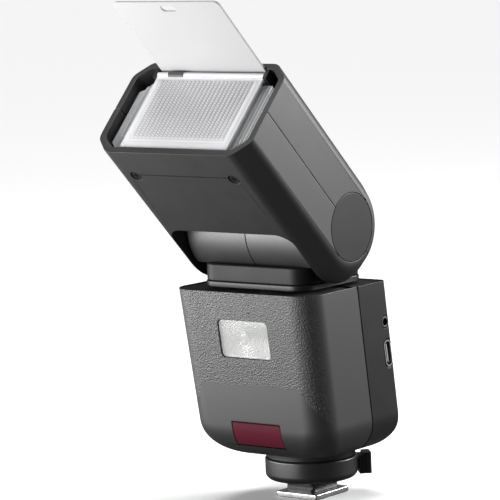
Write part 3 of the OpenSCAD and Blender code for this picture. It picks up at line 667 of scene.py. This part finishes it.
def clipped(bm, place, point, normal, edge=0.18):
    """Keeps the part of a closed bmesh behind the plane, closes it and breaks the new edge."""
    co = place @ Vector(point)
    no = (place.to_3x3() @ Vector(normal)).normalized()
    geom = bm.verts[:] + bm.edges[:] + bm.faces[:]
    bmesh.ops.bisect_plane(bm, geom=geom, dist=1e-5, plane_co=co, plane_no=no, clear_outer=True)
    rim = [e for e in bm.edges if e.is_boundary]
    bmesh.ops.edgeloop_fill(bm, edges=rim)
    bmesh.ops.recalc_face_normals(bm, faces=bm.faces)
    if edge:
        rim = [e for e in bm.edges if len(e.link_faces) == 2 and e.calc_face_angle(0) > math.radians(30)
               and all(abs((v.co - co).dot(no)) < 1e-3 for v in e.verts)]
        bmesh.ops.bevel(bm, geom=rim, offset=edge, segments=2, profile=0.5, affect="EDGES",
                        clamp_overlap=False)
    return bm


def led_outline(grow=0.0, r=1.6):
    return rounded(LED_W + 2 * grow, LED_H + 2 * grow, r + grow, 6, 0.0, -LED_DROP - LED_H / 2)


def make_body():
    """The two halves of the body's shell, and the focusing lamp's window, cut from the same form."""
    front = scratch(clipped(body_form(), BODY, (0, SEAM - SEAM_GAP / 2, 0), (0, 1, 0)))
    led_pocket = scratch(prism(led_outline(PLAY), FRONT - 2, FRONT + 9.4), BODY)
    af_pocket = scratch(box((-AF_W / 2 - PLAY, -60, AF_Z - PLAY), (AF_W / 2 + PLAY, -22, AF_Z + AF_H + PLAY)))
    cut(front, led_pocket, af_pocket)
    soften(front, 0.22)
    finish(front, "front_cover", "body_unit", GRAINED, "front_shell", sharp=40)
    af = scratch(body_form(PLAY))
    keep = scratch(box((-AF_W / 2, -60, AF_Z), (AF_W / 2, -22.1, AF_Z + AF_H)))
    cut(af, keep, op="INTERSECT")
    soften(af, 0.3)
    finish(af, "focus_lamp_window", "body_unit", RED, "af_window")

    rear = scratch(clipped(body_form(), BODY, (0, SEAM + SEAM_GAP / 2, 0), (0, -1, 0)))
    cut(rear, *rear_pockets())
    soften(rear, 0.2)
    finish(rear, "rear_cover", "body_unit", BLACK, "rear_shell", sharp=40)


PORT_Y, SYNC_Z, USB_Z = 3.9, -16.0, -27.7
DIAL_Z, DIAL_R = -42.0, 12.0
DISPLAY_W, DISPLAY_H, DISPLAY_Z = 38.0, 24.0, -16.2
REAR_SCREWS = ((26.4, -5.6), (14.5, -58.2))
KEY_NODES = ("mode_button", "menu_button", "test_button")


def side_prism(outline, x0, x1):
    """Extrudes a (y, z) outline from x0 to x1."""
    return loft([[Vector((x0, y, z)) for y, z in outline], [Vector((x1, y, z)) for y, z in outline]])


def sunk(outline, depth):
    """A cutter that takes an outline of the rear face down to a depth."""
    return scratch(prism(outline, REAR - depth, REAR + 3), BODY)


def rear_pockets():
    """Cutters for the display, the dial, the two ports, the keys and the screws."""
    inverse = BODY.inverted()
    outer, inner = rounded(5.4, 11.1, 2.6, 10, PORT_Y, USB_Z), rounded(4.2, 9.9, 2.0, 10, PORT_Y, USB_Z)
    cutters = [sunk(rounded(DISPLAY_W + 0.3, DISPLAY_H + 0.3, 2.1, 6, 0.0, DISPLAY_Z), 1.2),
               sunk(circle(DIAL_R + 0.3, 96, 0.0, DIAL_Z), 1.6),
               scratch(side_prism(circle(2.3, 48, PORT_Y, SYNC_Z), BODY_HALF - 8, BODY_HALF + 3), BODY),
               scratch(side_prism(outer, BODY_HALF - 1.2, BODY_HALF + 3), BODY),
               scratch(side_prism(inner, BODY_HALF - 9, BODY_HALF), BODY)]
    for node in (*KEY_NODES, "power_switch"):
        low, high = cad(node)
        c = inverse @ ((low + high) / 2)
        w, h, z = high.x - low.x - 1.1, 5.3, c.z
        if node == "power_switch":
            w, h, z = 4.4, 8.4, -49.0
        cutters.append(sunk(rounded(w, h, 1.6, 6, c.x, z), 1.2))
    for x, z in REAR_SCREWS:
        cutters += [sunk(circle(2.05, 40, side * x, z), 1.3) for side in (-1, 1)]
    return cutters


# ---------- head ----------

RIM_WALL = 2.5
SEAM_H = -1.0
BLEND_R = 4.6
CAVITY_L = MOUTH_L + 2.2


def blended(points, r, n=5):
    """Rounds the corners of a polygon with arcs of radius r; the first and last point stay as they are."""
    out = [points[0]]
    for a, b, c in zip(points, points[1:], points[2:]):
        p, q, s = Vector(a), Vector(b), Vector(c)
        u, v = (p - q).normalized(), (s - q).normalized()
        half = math.acos(max(-1, min(1, u.dot(v)))) / 2
        t = r / math.tan(half)
        centre = q + (u + v).normalized() * (r / math.sin(half))
        start, end = q + u * t, q + v * t
        a0 = math.atan2(start.y - centre.y, start.x - centre.x)
        a1 = math.atan2(end.y - centre.y, end.x - centre.x)
        turn = (a1 - a0 + math.pi) % (2 * math.pi) - math.pi
        out += [(centre.x + r * math.cos(a0 + turn * i / n), centre.y + r * math.sin(a0 + turn * i / n))
                for i in range(n + 1)]
    return out + [points[-1]]


def half_section(inset=0.0, r=BLEND_R):
    """Upper half of the head's section, from +X over the top to -X."""
    x, z, c = HEAD_HALF - inset, HEAD_Z - inset, CHAMFER - 0.6 * inset
    return blended([(x, 0.0), (x, z - c), (x - c, z), (-x + c, z), (-x, z - c), (-x, 0.0)], r)


def full_section(inset=0.0, r=BLEND_R):
    top = half_section(inset, r)
    return top[:-1] + [(-x, -z) for x, z in top[:-1]]


def head_form(end=HEAD_L, turns=48):
    """The head as one solid: its section runs back from the rim, then turns about the tilt axis."""
    top = half_section()
    bm = bmesh.new()
    rows = [[bm.verts.new((x, -l, z)) for x, z in top] for l in (end, 0.0)]
    for i in range(1, turns):
        t = math.pi * i / turns
        rows.append([bm.verts.new((x, z * math.sin(t), z * math.cos(t))) for x, z in top])
    rows += [[bm.verts.new((x, -l, -z)) for x, z in top] for l in (0.0, end)]
    for a, b in zip(rows, rows[1:]):
        for i in range(len(top) - 1):
            bm.faces.new((a[i], a[i + 1], b[i + 1], b[i]))
    bmesh.ops.remove_doubles(bm, verts=bm.verts, dist=1e-4)
    rim = [e for e in bm.edges if e.is_boundary]
    bmesh.ops.edgeloop_fill(bm, edges=rim)
    bmesh.ops.dissolve_degenerate(bm, edges=bm.edges, dist=1e-4)
    return bm


def bar(r, x0, x1, n=96, y=0.0, z=0.0):
    return side_prism(circle(r, n, y, z), x0, x1)


def plan_prism(outline, z0, z1):
    """Extrudes an (x, y) outline from z0 to z1."""
    return loft([[Vector((x, y, z0)) for x, y in outline], [Vector((x, y, z1)) for x, y in outline]])


CARD_HALF = cad("bounce_card")[1].x
CARD_LOW_H = 17.57
CARD_BACK = 20.5


def head_cutters():
    """The cavity, the mouth round the drums, the card's slot, the side caps' recesses and the screw holes."""
    gap = rounded(2 * ARM_X, MOUTH_L + 6, 6.0, 10, 0.0, -MOUTH_L / 2 + 3)
    tools = [scratch(prism(full_section(RIM_WALL, 3.0), -CAVITY_L, -HEAD_L - 5), HEAD),
             scratch(bar(18.7, -ARM_X, ARM_X), HEAD),
             scratch(box((-ARM_X, 1.5, -40), (ARM_X, 40, 40)), HEAD),
             scratch(box((-ARM_X, -1, -40), (ARM_X, 2, -7)), HEAD),
             scratch(plan_prism(gap, -40, -11.8), HEAD),
             scratch(box((-CARD_HALF - 0.6, -HEAD_L - 6, CARD_LOW_H - 0.6),
                         (CARD_HALF + 0.6, -CARD_BACK + 1, CARD_LOW_H + 1.1)), HEAD)]
    for s in (-1, 1):
        screw = circle(2.25, 48, s * SCREW_X, -SCREW_L)
        tools.append(scratch(bar(CAP_R + PLAY, s * (HEAD_HALF - 1.5), s * (HEAD_HALF + 4), 110), HEAD))
        tools.append(scratch(plan_prism(screw, -HEAD_Z - 3, -HEAD_Z + 1.0), HEAD))
    return tools


SCREW_X, SCREW_L = HEAD_HALF - 12.2, HEAD_L - 3.5 - 2.6 - 4.2 - 3.0


def make_head_shells():
    """The head's form is cut once, then divided at the seam into the upper and the lower cover."""
    base = scratch(head_form(), HEAD)
    cut(base, *head_cutters())
    halves = (("head_upper_cover", "head_upper_shell", -60.0, SEAM_H + SEAM_GAP / 2),
              ("head_lower_cover", "head_lower_shell", SEAM_H - SEAM_GAP / 2, 60.0))
    for name, node, low, high in halves:
        obj = linked("half", base.data.copy())
        cut(obj, scratch(box((-60, -90, low), (60, 60, high)), HEAD))
        split_faces(obj)
        soften(obj, 0.25, angle=34)
        split_faces(obj)
        finish(obj, name, "head", HEAD_BLACK, node, sharp=38)
    mesh = base.data
    bpy.data.objects.remove(base)
    bpy.data.meshes.remove(mesh)
    for side, node in ((-1, "hinge_cap_left"), (1, "hinge_cap_right")):
        cap = scratch(bar(CAP_R, side * (HEAD_HALF - 1.45), side * HEAD_HALF, 128), HEAD)
        soften(cap, 0.22)
        finish(cap, node.replace("hinge", "side"), "head", BLACK, node)


# ---------- neck ----------

DRUM_R = 18.3
HUB_BORE = 7.06
COLLAR_R = 6.7


def make_neck():
    centre = at(*HINGE)
    for name, node, side in (("left_drum_cover", "drum_left", -1), ("right_drum_cover", "drum_right", 1)):
        half = scratch(bar(DRUM_R, side * SEAM_GAP / 2, side * DRUM_HALF, 160), centre)
        cut(half, scratch(bar(DRUM_R - 2, -side, side * (DRUM_HALF - 2)), centre),
            scratch(bar(HUB_BORE, -side, side * (DRUM_HALF + 3)), centre),
            scratch(box((-60, -60, 0), (60, 60, COLLAR_HIGH.z))))
        soften(half, 0.3, angle=50)
        finish(half, name, "neck", DRUM, node)
    y = (COLLAR_LOW.y + COLLAR_HIGH.y) / 2
    w, d = 2 * COLLAR_HIGH.x, COLLAR_HIGH.y - COLLAR_LOW.y
    collar = scratch(plan_prism(rounded(w, d, COLLAR_R, 14, 0, y), COLLAR_LOW.z, COLLAR_HIGH.z))
    hollow = rounded(w - 4.4, d - 4.4, 4.5, 8, 0, y)
    cut(collar, scratch(plan_prism(hollow, COLLAR_LOW.z - 1, COLLAR_HIGH.z - 1.8)),
        scratch(plan_prism(circle(6, 48, 0, y), COLLAR_LOW.z - 1, COLLAR_HIGH.z + 1)))
    soften(collar, 0.5, segments=3)
    finish(collar, "swivel_collar", "neck", SHADED_COLLAR_BLACK, "neck_collar")
    w, d = 2 * BASE_HIGH.x, BASE_HIGH.y - BASE_LOW.y
    base = scratch(plan_prism(rounded(w, d, COLLAR_R + 0.3, 14, 0, y), BASE_LOW.z, BASE_HIGH.z))
    cut(base, scratch(plan_prism(circle(9.06, 64, 0, y), BASE_LOW.z - 1, BASE_HIGH.z + 1)))
    soften(base, 0.35, segments=3)
    finish(base, "swivel_base", "neck", DARK, "neck_base_plate")


# ---------- foot and lock ring ----------

RING_LOW, RING_HIGH = cad("lock_ring_housing")
RING_R = RING_HIGH.x
PAD_R = cad("base_pad")[1].x
LEVER_ANGLE, LEVER_SWEEP, SLOT_HALF = 44.0, 80.0, 17.6
SLOT_LOW, SLOT_HIGH = RING_LOW.z + 1.6, RING_HIGH.z - 1.6
PLATE_HIGH = cad("foot_plate")[1]
STEM_HIGH = cad("foot_stem")[1]
CONTACTS = ((0, 0), (-3.4, 2.6), (3.4, 2.6), (-2.6, -3.4), (2.6, -3.4))
FOOT_SCREWS = ((-4.6, -6.2), (4.6, -6.2), (-4.6, 6.2), (4.6, 6.2))
PIN_Y = -6.2


def sector(r, a0, a1, z0, z1, n=24):
    return plan_prism([(0.0, 0.0)] + arc(0, 0, r, a0, a1, n), z0, z1)


def make_lock_ring():
    """The round housing with the lever's slot, and the flat spacer between it and the body."""
    z0, z1 = RING_LOW.z, RING_HIGH.z
    foot, lip = 2.6, 0.7
    profile = ([(0, z0), (RING_R - foot - 3, z0)] + arc(RING_R - foot, z0 + foot, foot, -90, 0, 8)
               + arc(RING_R - lip, z1 - lip, lip, 0, 90, 5)
               + [(PAD_R + 0.1, z1), (PAD_R - 0.2, z1 - 0.02), (0, z1 - 0.02)])
    ring = scratch(lathe(profile, 160))
    cut(ring, scratch(tube(8.2, RING_R - 2.8, SLOT_LOW, SLOT_HIGH, 0.1)))
    slot = scratch(sector(RING_R + 4, LEVER_ANGLE - SLOT_HALF, LEVER_ANGLE + LEVER_SWEEP + SLOT_HALF,
                          SLOT_LOW, SLOT_HIGH))
    cut(slot, scratch(lathe([(0, 0), (RING_R - 3.4, 0), (RING_R - 3.4, 30), (0, 30)], 96)))
    cut(ring, slot, scratch(plan_prism(circle(0.95, 32, 0, PIN_Y), z0 - 1, z1 - 1.2)))
    soften(ring, 0.15, angle=50)
    finish(ring, "lock_ring_cover", "body_unit", RING_BLACK, "lock_ring_housing")
    pad = scratch(lathe([(0, z1), (PAD_R - 0.3, z1), (PAD_R, z1 + 0.3), (PAD_R, BODY_BASE - 0.5),
                         (PAD_R + 0.2, BODY_BASE), (0, BODY_BASE)], 128))
    finish(pad, "base_spacer", "body_unit", DARK, "base_pad")


def make_lever():
    """The ring inside the housing, its arm, and the ribbed grip with a stepped top."""
    turn = Matrix.Rotation(math.radians(LEVER_ANGLE), 4, "Z")
    low, high = SLOT_LOW + 0.3, SLOT_HIGH - 0.3
    lever = scratch(tube(8.5, RING_R - 3.1, low, high, 0.25))
    arm = scratch(box((RING_R - 4.3, -3.1, low + 0.4), (RING_R + 3.8, 3.1, high - 0.4)), turn)
    inner, outer, half = RING_R + 0.3, RING_R + 4.8, 3.5
    rib, depth = 0.85, 0.35
    side = [(inner, half)]
    x = inner + 0.5
    while x + 2 * rib < outer:
        side += [(x, half), (x, half - depth), (x + rib * 0.7, half - depth), (x + rib * 0.7, half)]
        x += 1.5 * rib
    side += [(outer - 0.5, half), (outer, half - 0.5)]
    outline = side + [(px, -py) for px, py in reversed(side)]
    tab = scratch(plan_prism(outline, RING_LOW.z + 0.5, RING_HIGH.z + 0.2), turn)
    cut(tab, scratch(box((inner - 1, -9, RING_HIGH.z - 0.7), (inner + 1.4, 9, RING_HIGH.z + 3)), turn))
    cut(lever, arm, op="UNION")
    cut(lever, tab, op="UNION")
    soften(lever, 0.14, angle=50)
    finish(lever, "lever_grip", "lock_lever", DARK, "lock_lever")


def make_foot():
    w, d, t = 2 * PLATE_HIGH.x, 2 * PLATE_HIGH.y, PLATE_HIGH.z
    plate = scratch(plan_prism(rounded(w, d, 1.0, 6), 0, t))
    soften(plate, 0.32, segments=3, angle=60)
    tools = [scratch(plan_prism(circle(1.0, 32, x, y), -1, t + 1)) for x, y in CONTACTS]
    tools += [scratch(plan_prism(circle(1.5, 32, x, y), -1, 1.2)) for x, y in FOOT_SCREWS]
    tools += [scratch(plan_prism(circle(0.9, 24, x, y), -1, t + 1)) for x, y in FOOT_SCREWS]
    tools.append(scratch(plan_prism(circle(0.95, 32, 0, PIN_Y), -1, t + 1)))
    cut(plate, *tools)
    finish(plate, "shoe_plate", "body_unit", PLATED, "foot_plate")
    stem = scratch(plan_prism(rounded(2 * STEM_HIGH.x, 2 * STEM_HIGH.y, 1.5, 8), t, STEM_HIGH.z))
    cut(stem, scratch(box((-20, -9, t + 1.5), (20, -STEM_HIGH.y + 0.5, t + 2.4))),
        scratch(box((-20, STEM_HIGH.y - 0.5, t + 1.5), (20, 9, t + 2.4))))
    soften(stem, 0.15)
    finish(stem, "shoe_stem", "body_unit", DARK, "foot_stem")
    contacts = []
    for x, y in CONTACTS:
        profile = [(0, 0), (0.5, 0.02), (0.75, 0.12), (0.88, 0.35), (0.9, 0.6), (0.9, t + 1.8), (0, t + 1.8)]
        contacts.append(scratch(lathe(profile, 32), at(x, y, 0)))
    finish(joined(*contacts), "spring_contacts", "body_unit", GOLD, "foot_contacts")


# ---------- lens, wide panel and card ----------

LENS_LOW, LENS_HIGH = -17.37, 13.57
LENS_X = HEAD_HALF - 3.4
LENS_FRONT, LENS_BACK = HEAD_L - 3.5, HEAD_L - 6.1
LENS_CORNER = 4.0
PIVOT_L, PIVOT_H = 63.2, 15.77
PANEL_HALF, PANEL_T = cad("wide_panel")[1].x, 1.2
PANEL_LOW = -17.17
DOME_STEP = 0.6
PANEL_TOP = PIVOT_H - 0.9
PANEL_ROWS = int((PANEL_TOP - PANEL_LOW) / (DOME_STEP * math.sqrt(3) / 2))
DOME_ROW = (PANEL_TOP - PANEL_LOW) / PANEL_ROWS
DOTS_SIDE, DOTS_LOW, DOTS_HIGH = 3.2, 4.6, 2.6


def make_lens():
    """Fresnel lens: long upright ridges on its face, flat border, cut corners."""
    pitch, deep = 1.4, 0.45
    count = int(2 * (LENS_X - 1.2) / pitch)
    start = -count * pitch / 2
    crest = ((0.0, 0.0), (0.2, 0.75), (0.5, 1.0), (0.8, 0.75))
    face = [(-LENS_X, LENS_FRONT)]
    for i in range(count):
        face += [(start + (i + t) * pitch, LENS_FRONT - deep * (1.03 - lift)) for t, lift in crest]
    face += [(start + count * pitch, LENS_FRONT - deep), (LENS_X, LENS_FRONT)]
    outline = [(x, -l) for x, l in face] + [(LENS_X, -LENS_BACK), (-LENS_X, -LENS_BACK)]
    bm = plan_prism(outline, LENS_LOW, LENS_HIGH)
    for sx in (-1, 1):
        for h, sh in ((LENS_LOW, -1), (LENS_HIGH, 1)):
            corner = (sx * (LENS_X - LENS_CORNER / 2), 0, h - sh * LENS_CORNER / 2)
            bm = clipped(bm, ROW, corner, (sx, 0, sh), 0)
    finish(scratch(bm, HEAD), "zoom_lens", "head", CLEAR, "fresnel_lens", sharp=20)


def dome_shaded_clear():
    """Clear plastic with painted light on the wide panel: a painted highlight on each dome and painted shade
    between them.
    """
    p = Paint("dome_shaded_clear", "clear_plastic", grey(0.7), 0.14, Alpha=0.62, IOR=1.49, Specular_IOR_Level=0.7)
    split = p.node("ShaderNodeSeparateXYZ")
    p.link(p.coords, split.inputs["Vector"])
    across = p.math("ADD", p.math("MULTIPLY", split.outputs["X"], 1000.0), PANEL_HALF)
    lift = p.node("ShaderNodeVectorMath", operation="DOT_PRODUCT")
    up = HEAD.to_3x3() @ Vector((0, 0, 1))
    lift.inputs[1].default_value = up * 1000.0
    p.link(p.coords, lift.inputs[0])
    height = p.math("SUBTRACT", lift.outputs["Value"], up.dot(HEAD.to_translation()) + PANEL_LOW)
    turn = p.math("MULTIPLY", across, 4.0 * math.pi / (3.0 * DOME_STEP))
    rows = p.math("COSINE", p.math("MULTIPLY", height, math.pi / DOME_ROW), 0.0)
    half = p.math("COSINE", p.math("MULTIPLY", turn, 0.5), 0.0)
    dome_shading = p.math("ADD", p.math("COSINE", turn, 0.0), p.math("MULTIPLY", p.math("MULTIPLY", half, rows), 2.0))
    dome_shading = p.math("DIVIDE", p.math("ADD", dome_shading, 1.5), 4.5, clamp=True)
    away = p.math("ABSOLUTE", p.math("SUBTRACT", across, PANEL_HALF), 0.0)
    wide = p.math("LESS_THAN", away, PANEL_HALF - DOTS_SIDE)
    tall = p.math("MULTIPLY", p.math("GREATER_THAN", height, DOTS_LOW),
                  p.math("LESS_THAN", height, PIVOT_H - DOTS_HIGH - PANEL_LOW))
    field = p.math("MULTIPLY", wide, tall)
    plain = p.math("MULTIPLY", p.math("SUBTRACT", 1.0, field), 0.7)
    # Painted highlight on the domes and painted shade between them; the plain border gets one even grey.
    p.blend(grey(0.50), grey(0.92), p.math("ADD", p.math("MULTIPLY", dome_shading, field), plain))
    p.vary_roughness(0.10, 0.20, 200.0)
    p.bump(p.noise(700.0, 2.0), 0.006)
    return p.mat


def panel_height(x, h, raised):
    """Relief of the wide panel's face: small domes in the middle, long ridges below, a rib at each side."""
    if abs(x) < PANEL_HALF - DOTS_SIDE and PANEL_LOW + DOTS_LOW < h < PIVOT_H - DOTS_HIGH:
        return 0.30 if raised else 0.0
    if abs(x) < PANEL_HALF - 1.5 and PANEL_LOW + 0.8 < h < PANEL_LOW + 4.2:
        return 0.28 * (0.5 + 0.5 * math.cos(2 * math.pi * (h - PANEL_LOW - 0.8) / 1.3))
    if PANEL_HALF - 2.6 < abs(x) < PANEL_HALF - 1.0 and h < PIVOT_H - 2.6:
        return 0.2
    return 0.0


def make_wide_panel():
    """The flip-down diffuser, a clear plate with a close pattern of round domes, and its clip."""
    columns = int(2 * PANEL_HALF / DOME_STEP)
    back = PIVOT_L - PANEL_T / 2
    front = PIVOT_L + PANEL_T / 2 - 0.32
    bm = bmesh.new()
    grid = []
    for j in range(PANEL_ROWS + 1):
        h = PANEL_LOW + (PANEL_TOP - PANEL_LOW) * j / PANEL_ROWS
        inner = [-PANEL_HALF + (i + 0.5 * (j % 2)) * DOME_STEP for i in range(1, columns)]
        xs = [-PANEL_HALF] + inner + [PANEL_HALF]
        line = []
        for i, x in enumerate(xs):
            raised = (i - j // 2 - (j % 2) - j) % 3 == 0
            edge = j in (0, PANEL_ROWS) or i in (0, len(xs) - 1)
            line.append(bm.verts.new((x, -front - (0.0 if edge else panel_height(x, h, raised)), h)))
        grid.append(line)
    for j, (a, b) in enumerate(zip(grid, grid[1:])):
        for i in range(len(a) - 1):
            if j % 2:
                bm.faces.new((a[i], a[i + 1], b[i + 1]))
                bm.faces.new((a[i], b[i + 1], b[i]))
            else:
                bm.faces.new((a[i], a[i + 1], b[i]))
                bm.faces.new((a[i + 1], b[i + 1], b[i]))
    left, right = [line[0] for line in grid], [line[-1] for line in reversed(grid[:-1])]
    rim = left + grid[-1][1:] + right + grid[0][-2:0:-1]
    behind = [bm.verts.new((v.co.x, -back, v.co.z)) for v in rim]
    ring_faces(bm, rim, behind)
    bm.faces.new(behind)
    bmesh.ops.triangulate(bm, faces=[f for f in bm.faces if len(f.verts) > 4])
    panel = scratch(bm, HEAD)
    barrel = scratch(bar(1.1, -PANEL_HALF, PANEL_HALF, 40, -PIVOT_L, PIVOT_H), HEAD)
    cut(barrel, scratch(bar(0.66, -PANEL_HALF - 1, PANEL_HALF + 1, 32, -PIVOT_L, PIVOT_H), HEAD))
    web = scratch(box((-PANEL_HALF, -PIVOT_L - 0.5, PANEL_TOP - 0.6),
                      (PANEL_HALF, -PIVOT_L + 0.5, PIVOT_H - 0.75)), HEAD)
    finish(joined(panel, barrel, web), "wide_diffuser", "wide_panel", dome_shaded_clear(), "wide_panel", sharp=60)
    tab = scratch(bar(1.34, -18.6, -11.8, 40, -PIVOT_L, PIVOT_H), HEAD)
    cut(tab, scratch(bar(1.12, -20, -10, 40, -PIVOT_L, PIVOT_H), HEAD))
    cut(tab, scratch(box((-20, -PIVOT_L + 0.2, PIVOT_H - 4), (-10, -PIVOT_L + 4, PIVOT_H + 4)), HEAD))
    soften(tab, 0.06)
    finish(tab, "panel_clip", "wide_panel", KEY, slot="key_plastic")


def make_card():
    """The white card, as far out as in the photograph, with a hole for a fingertip."""
    length, end = 44.2, HEAD_L + 35.2
    outline = rounded(2 * CARD_HALF, length, 2.0, 8, 0, -end + length / 2)
    finger_hole = rounded(6.4, 3.0, 1.45, 10, 0, -end + 3.4)
    card = scratch(plan_prism(outline, CARD_LOW_H, CARD_LOW_H + 0.8), HEAD)
    cut(card, scratch(plan_prism(finger_hole, CARD_LOW_H - 2, CARD_LOW_H + 3), HEAD))
    soften(card, 0.12, angle=60)
    finish(card, "bounce_sheet", "bounce_card", CARD, "bounce_card")


# ---------- small body pieces ----------

def ray_plate(outline, y0, y1, relief, rings=52):
    """A plate whose front face is drawn in rings about the outline's middle, for round ridges."""
    n = len(outline)
    cx, cz = sum(p[0] for p in outline) / n, sum(p[1] for p in outline) / n
    bm = bmesh.new()
    rows = []
    for i in range(rings, 0, -1):
        t = i / rings
        row = []
        for x, z in outline:
            px, pz = (x - cx) * t, (z - cz) * t
            lift = relief(math.hypot(px, pz)) if i < rings else 0.0
            row.append(bm.verts.new((cx + px, y0 - lift, cz + pz)))
        rows.append(row)
    for a, b in zip(rows, rows[1:]):
        ring_faces(bm, a, b)
    middle = bm.verts.new((cx, y0 - relief(0.0), cz))
    for i in range(n):
        bm.faces.new((rows[-1][i], rows[-1][(i + 1) % n], middle))
    back = [bm.verts.new((v.co.x, y1, v.co.z)) for v in rows[0]]
    ring_faces(bm, rows[0], back)
    bm.faces.new(back)
    return bm


def even_outline(points, step):
    """The same closed outline with a point at least every `step`."""
    out = []
    for a, b in zip(points, points[1:] + points[:1]):
        n = max(1, math.ceil(math.dist(a, b) / step))
        out += [(a[0] + (b[0] - a[0]) * i / n, a[1] + (b[1] - a[1]) * i / n) for i in range(n)]
    return out


def make_led():
    """LED window with round Fresnel ridges over a bright four-sided bowl."""
    pitch, deep = 0.95, 0.12

    def relief(r):
        return 0.2 + (deep * ((r % pitch) / pitch) if r > 2.2 else deep * (1 - (r / 2.2) ** 2))

    y0 = FRONT + 0.75
    window = scratch(ray_plate(even_outline(led_outline(-0.02), 0.5), y0, FRONT + 1.8, relief), BODY)
    finish(window, "lamp_window", "body_unit", LED_LENS, "led_window", sharp=25)
    cz = -LED_DROP - LED_H / 2
    rim, floor = FRONT + 1.82, FRONT + 1.82 + 7.0
    outer = ((rim, -0.3, 1.6), (floor, -0.3, 1.6), (floor, 4.9, 1.9))
    inner = ((rim + 5.27, 4.3, 1.9), (rim + 2.47, 2.0, 1.8), (rim + 0.01, 0.5, 1.6))
    rings = []
    for y, inset, r in outer + inner:
        w, h = LED_W - 2 * inset, LED_H - 2 * inset
        rings.append([Vector((x, y, z)) for x, z in rounded(w, h, min(r, h / 2 - 0.1), 6, 0, cz)])
    bm = bmesh.new()
    rows = [[bm.verts.new(p) for p in ring] for ring in rings]
    for a, b in zip(rows, rows[1:] + rows[:1]):
        ring_faces(bm, a, b)
    finish(scratch(bm, BODY), "lamp_bowl", "body_unit", MIRROR, "led_reflector", sharp=30)


def make_keys():
    """Rear buttons with rounded caps, the ribbed power slider and the display glass."""
    inverse = BODY.inverted()
    seat, shelf = REAR - 2.9, REAR - 2.1
    for node in KEY_NODES:
        low, high = cad(node)
        c = inverse @ ((low + high) / 2)
        key = scratch(prism(rounded(8.8, 4.8, 1.5, 8, c.x, c.z), seat, REAR + 0.8), BODY)
        soften(key, 0.45, segments=4)
        flange = scratch(prism(rounded(10.4, 6.4, 1.8, 6, c.x, c.z), seat, shelf), BODY)
        finish(joined(key, flange), node.replace("button", "key"), node, KEY, node)
    low, high = cad("power_switch")
    c = inverse @ ((low + high) / 2)
    slider = scratch(prism(rounded(4, 5, 1, 6, c.x, c.z), seat, REAR + 1.0), BODY)
    soften(slider, 0.25, segments=3)
    grooves = []
    for z in (c.z - 1.3, c.z - 0.43, c.z + 0.43, c.z + 1.3):
        grooves.append(scratch(box((c.x - 3, REAR + 0.55, z - 0.22), (c.x + 3, REAR + 3, z + 0.22)), BODY))
    cut(slider, *grooves)
    plate = scratch(prism(rounded(6, 7, 1, 4, c.x, c.z), seat, shelf), BODY)
    finish(joined(slider, plate), "power_slider", "power_switch", KEY, "power_switch")
    glass = scratch(prism(rounded(DISPLAY_W, DISPLAY_H, 2, 8, 0, DISPLAY_Z), shelf, REAR - 0.2), BODY)
    soften(glass, 0.2)
    finish(glass, "display_cover", "body_unit", GLASS, "display_window")


def make_dial():
    """The dial with its knurled edge, and the dished key in its middle."""
    place = BODY @ at(0, REAR, DIAL_Z) @ TURN_Y
    teeth = 48
    n = teeth * 6
    section = [(6.7, -1.5), (11.6, -1.5), (11.95, -1.2), (11.95, 1.6), (11.5, 2.2), (10.4, 2.5), (8.2, 2.35),
               (7.2, 1.8), (6.7, 1.2)]
    bm = bmesh.new()
    rows = []
    for i in range(n):
        a = 2 * math.pi * i / n
        notch = (0.0, 0.0, 0.1, 0.34, 0.34, 0.1)[i % 6]
        cut_back = [(r - notch if r > 11.4 else r, z) for r, z in section]
        rows.append([bm.verts.new((r * math.cos(a), r * math.sin(a), z)) for r, z in cut_back])
    for i in range(n):
        ring_faces(bm, rows[i], rows[(i + 1) % n])
    finish(scratch(bm, place), "knurled_dial", "control_dial", DIAL, "control_dial", sharp=45)
    profile = [(0, -3.2), (5.6, -3.2), (5.85, -3.0), (5.85, 1.1), (5.55, 1.5), (5.0, 1.6), (3.6, 1.35),
               (1.8, 1.2), (0, 1.15)]
    finish(scratch(lathe(profile, 96), place), "set_key", "set_button", KEY, "set_button", sharp=40)


def make_ports():
    """The sleeve of the sync socket, closed at its inner end."""
    side = BODY @ at(BODY_HALF - 0.32, PORT_Y, SYNC_Z) @ TURN_X
    bm = tube(1.3, 2.1, -10.6, -0.12, 0.12, 64)
    jack = scratch(bm, side)
    plug_end = scratch(lathe([(0, -10.9), (2.0, -10.9), (2.0, -10.3), (0, -10.3)], 48), side)
    finish(joined(jack, plug_end), "sync_socket", "body_unit", BLACK_STEEL, "sync_jack")


make_camera()
make_stage()
paint_cad_nodes()
make_head_shells()
make_neck()
make_body()
make_led()
make_keys()
make_dial()
make_ports()
make_lock_ring()
make_lever()
make_foot()
make_lens()
make_wide_panel()
make_card()
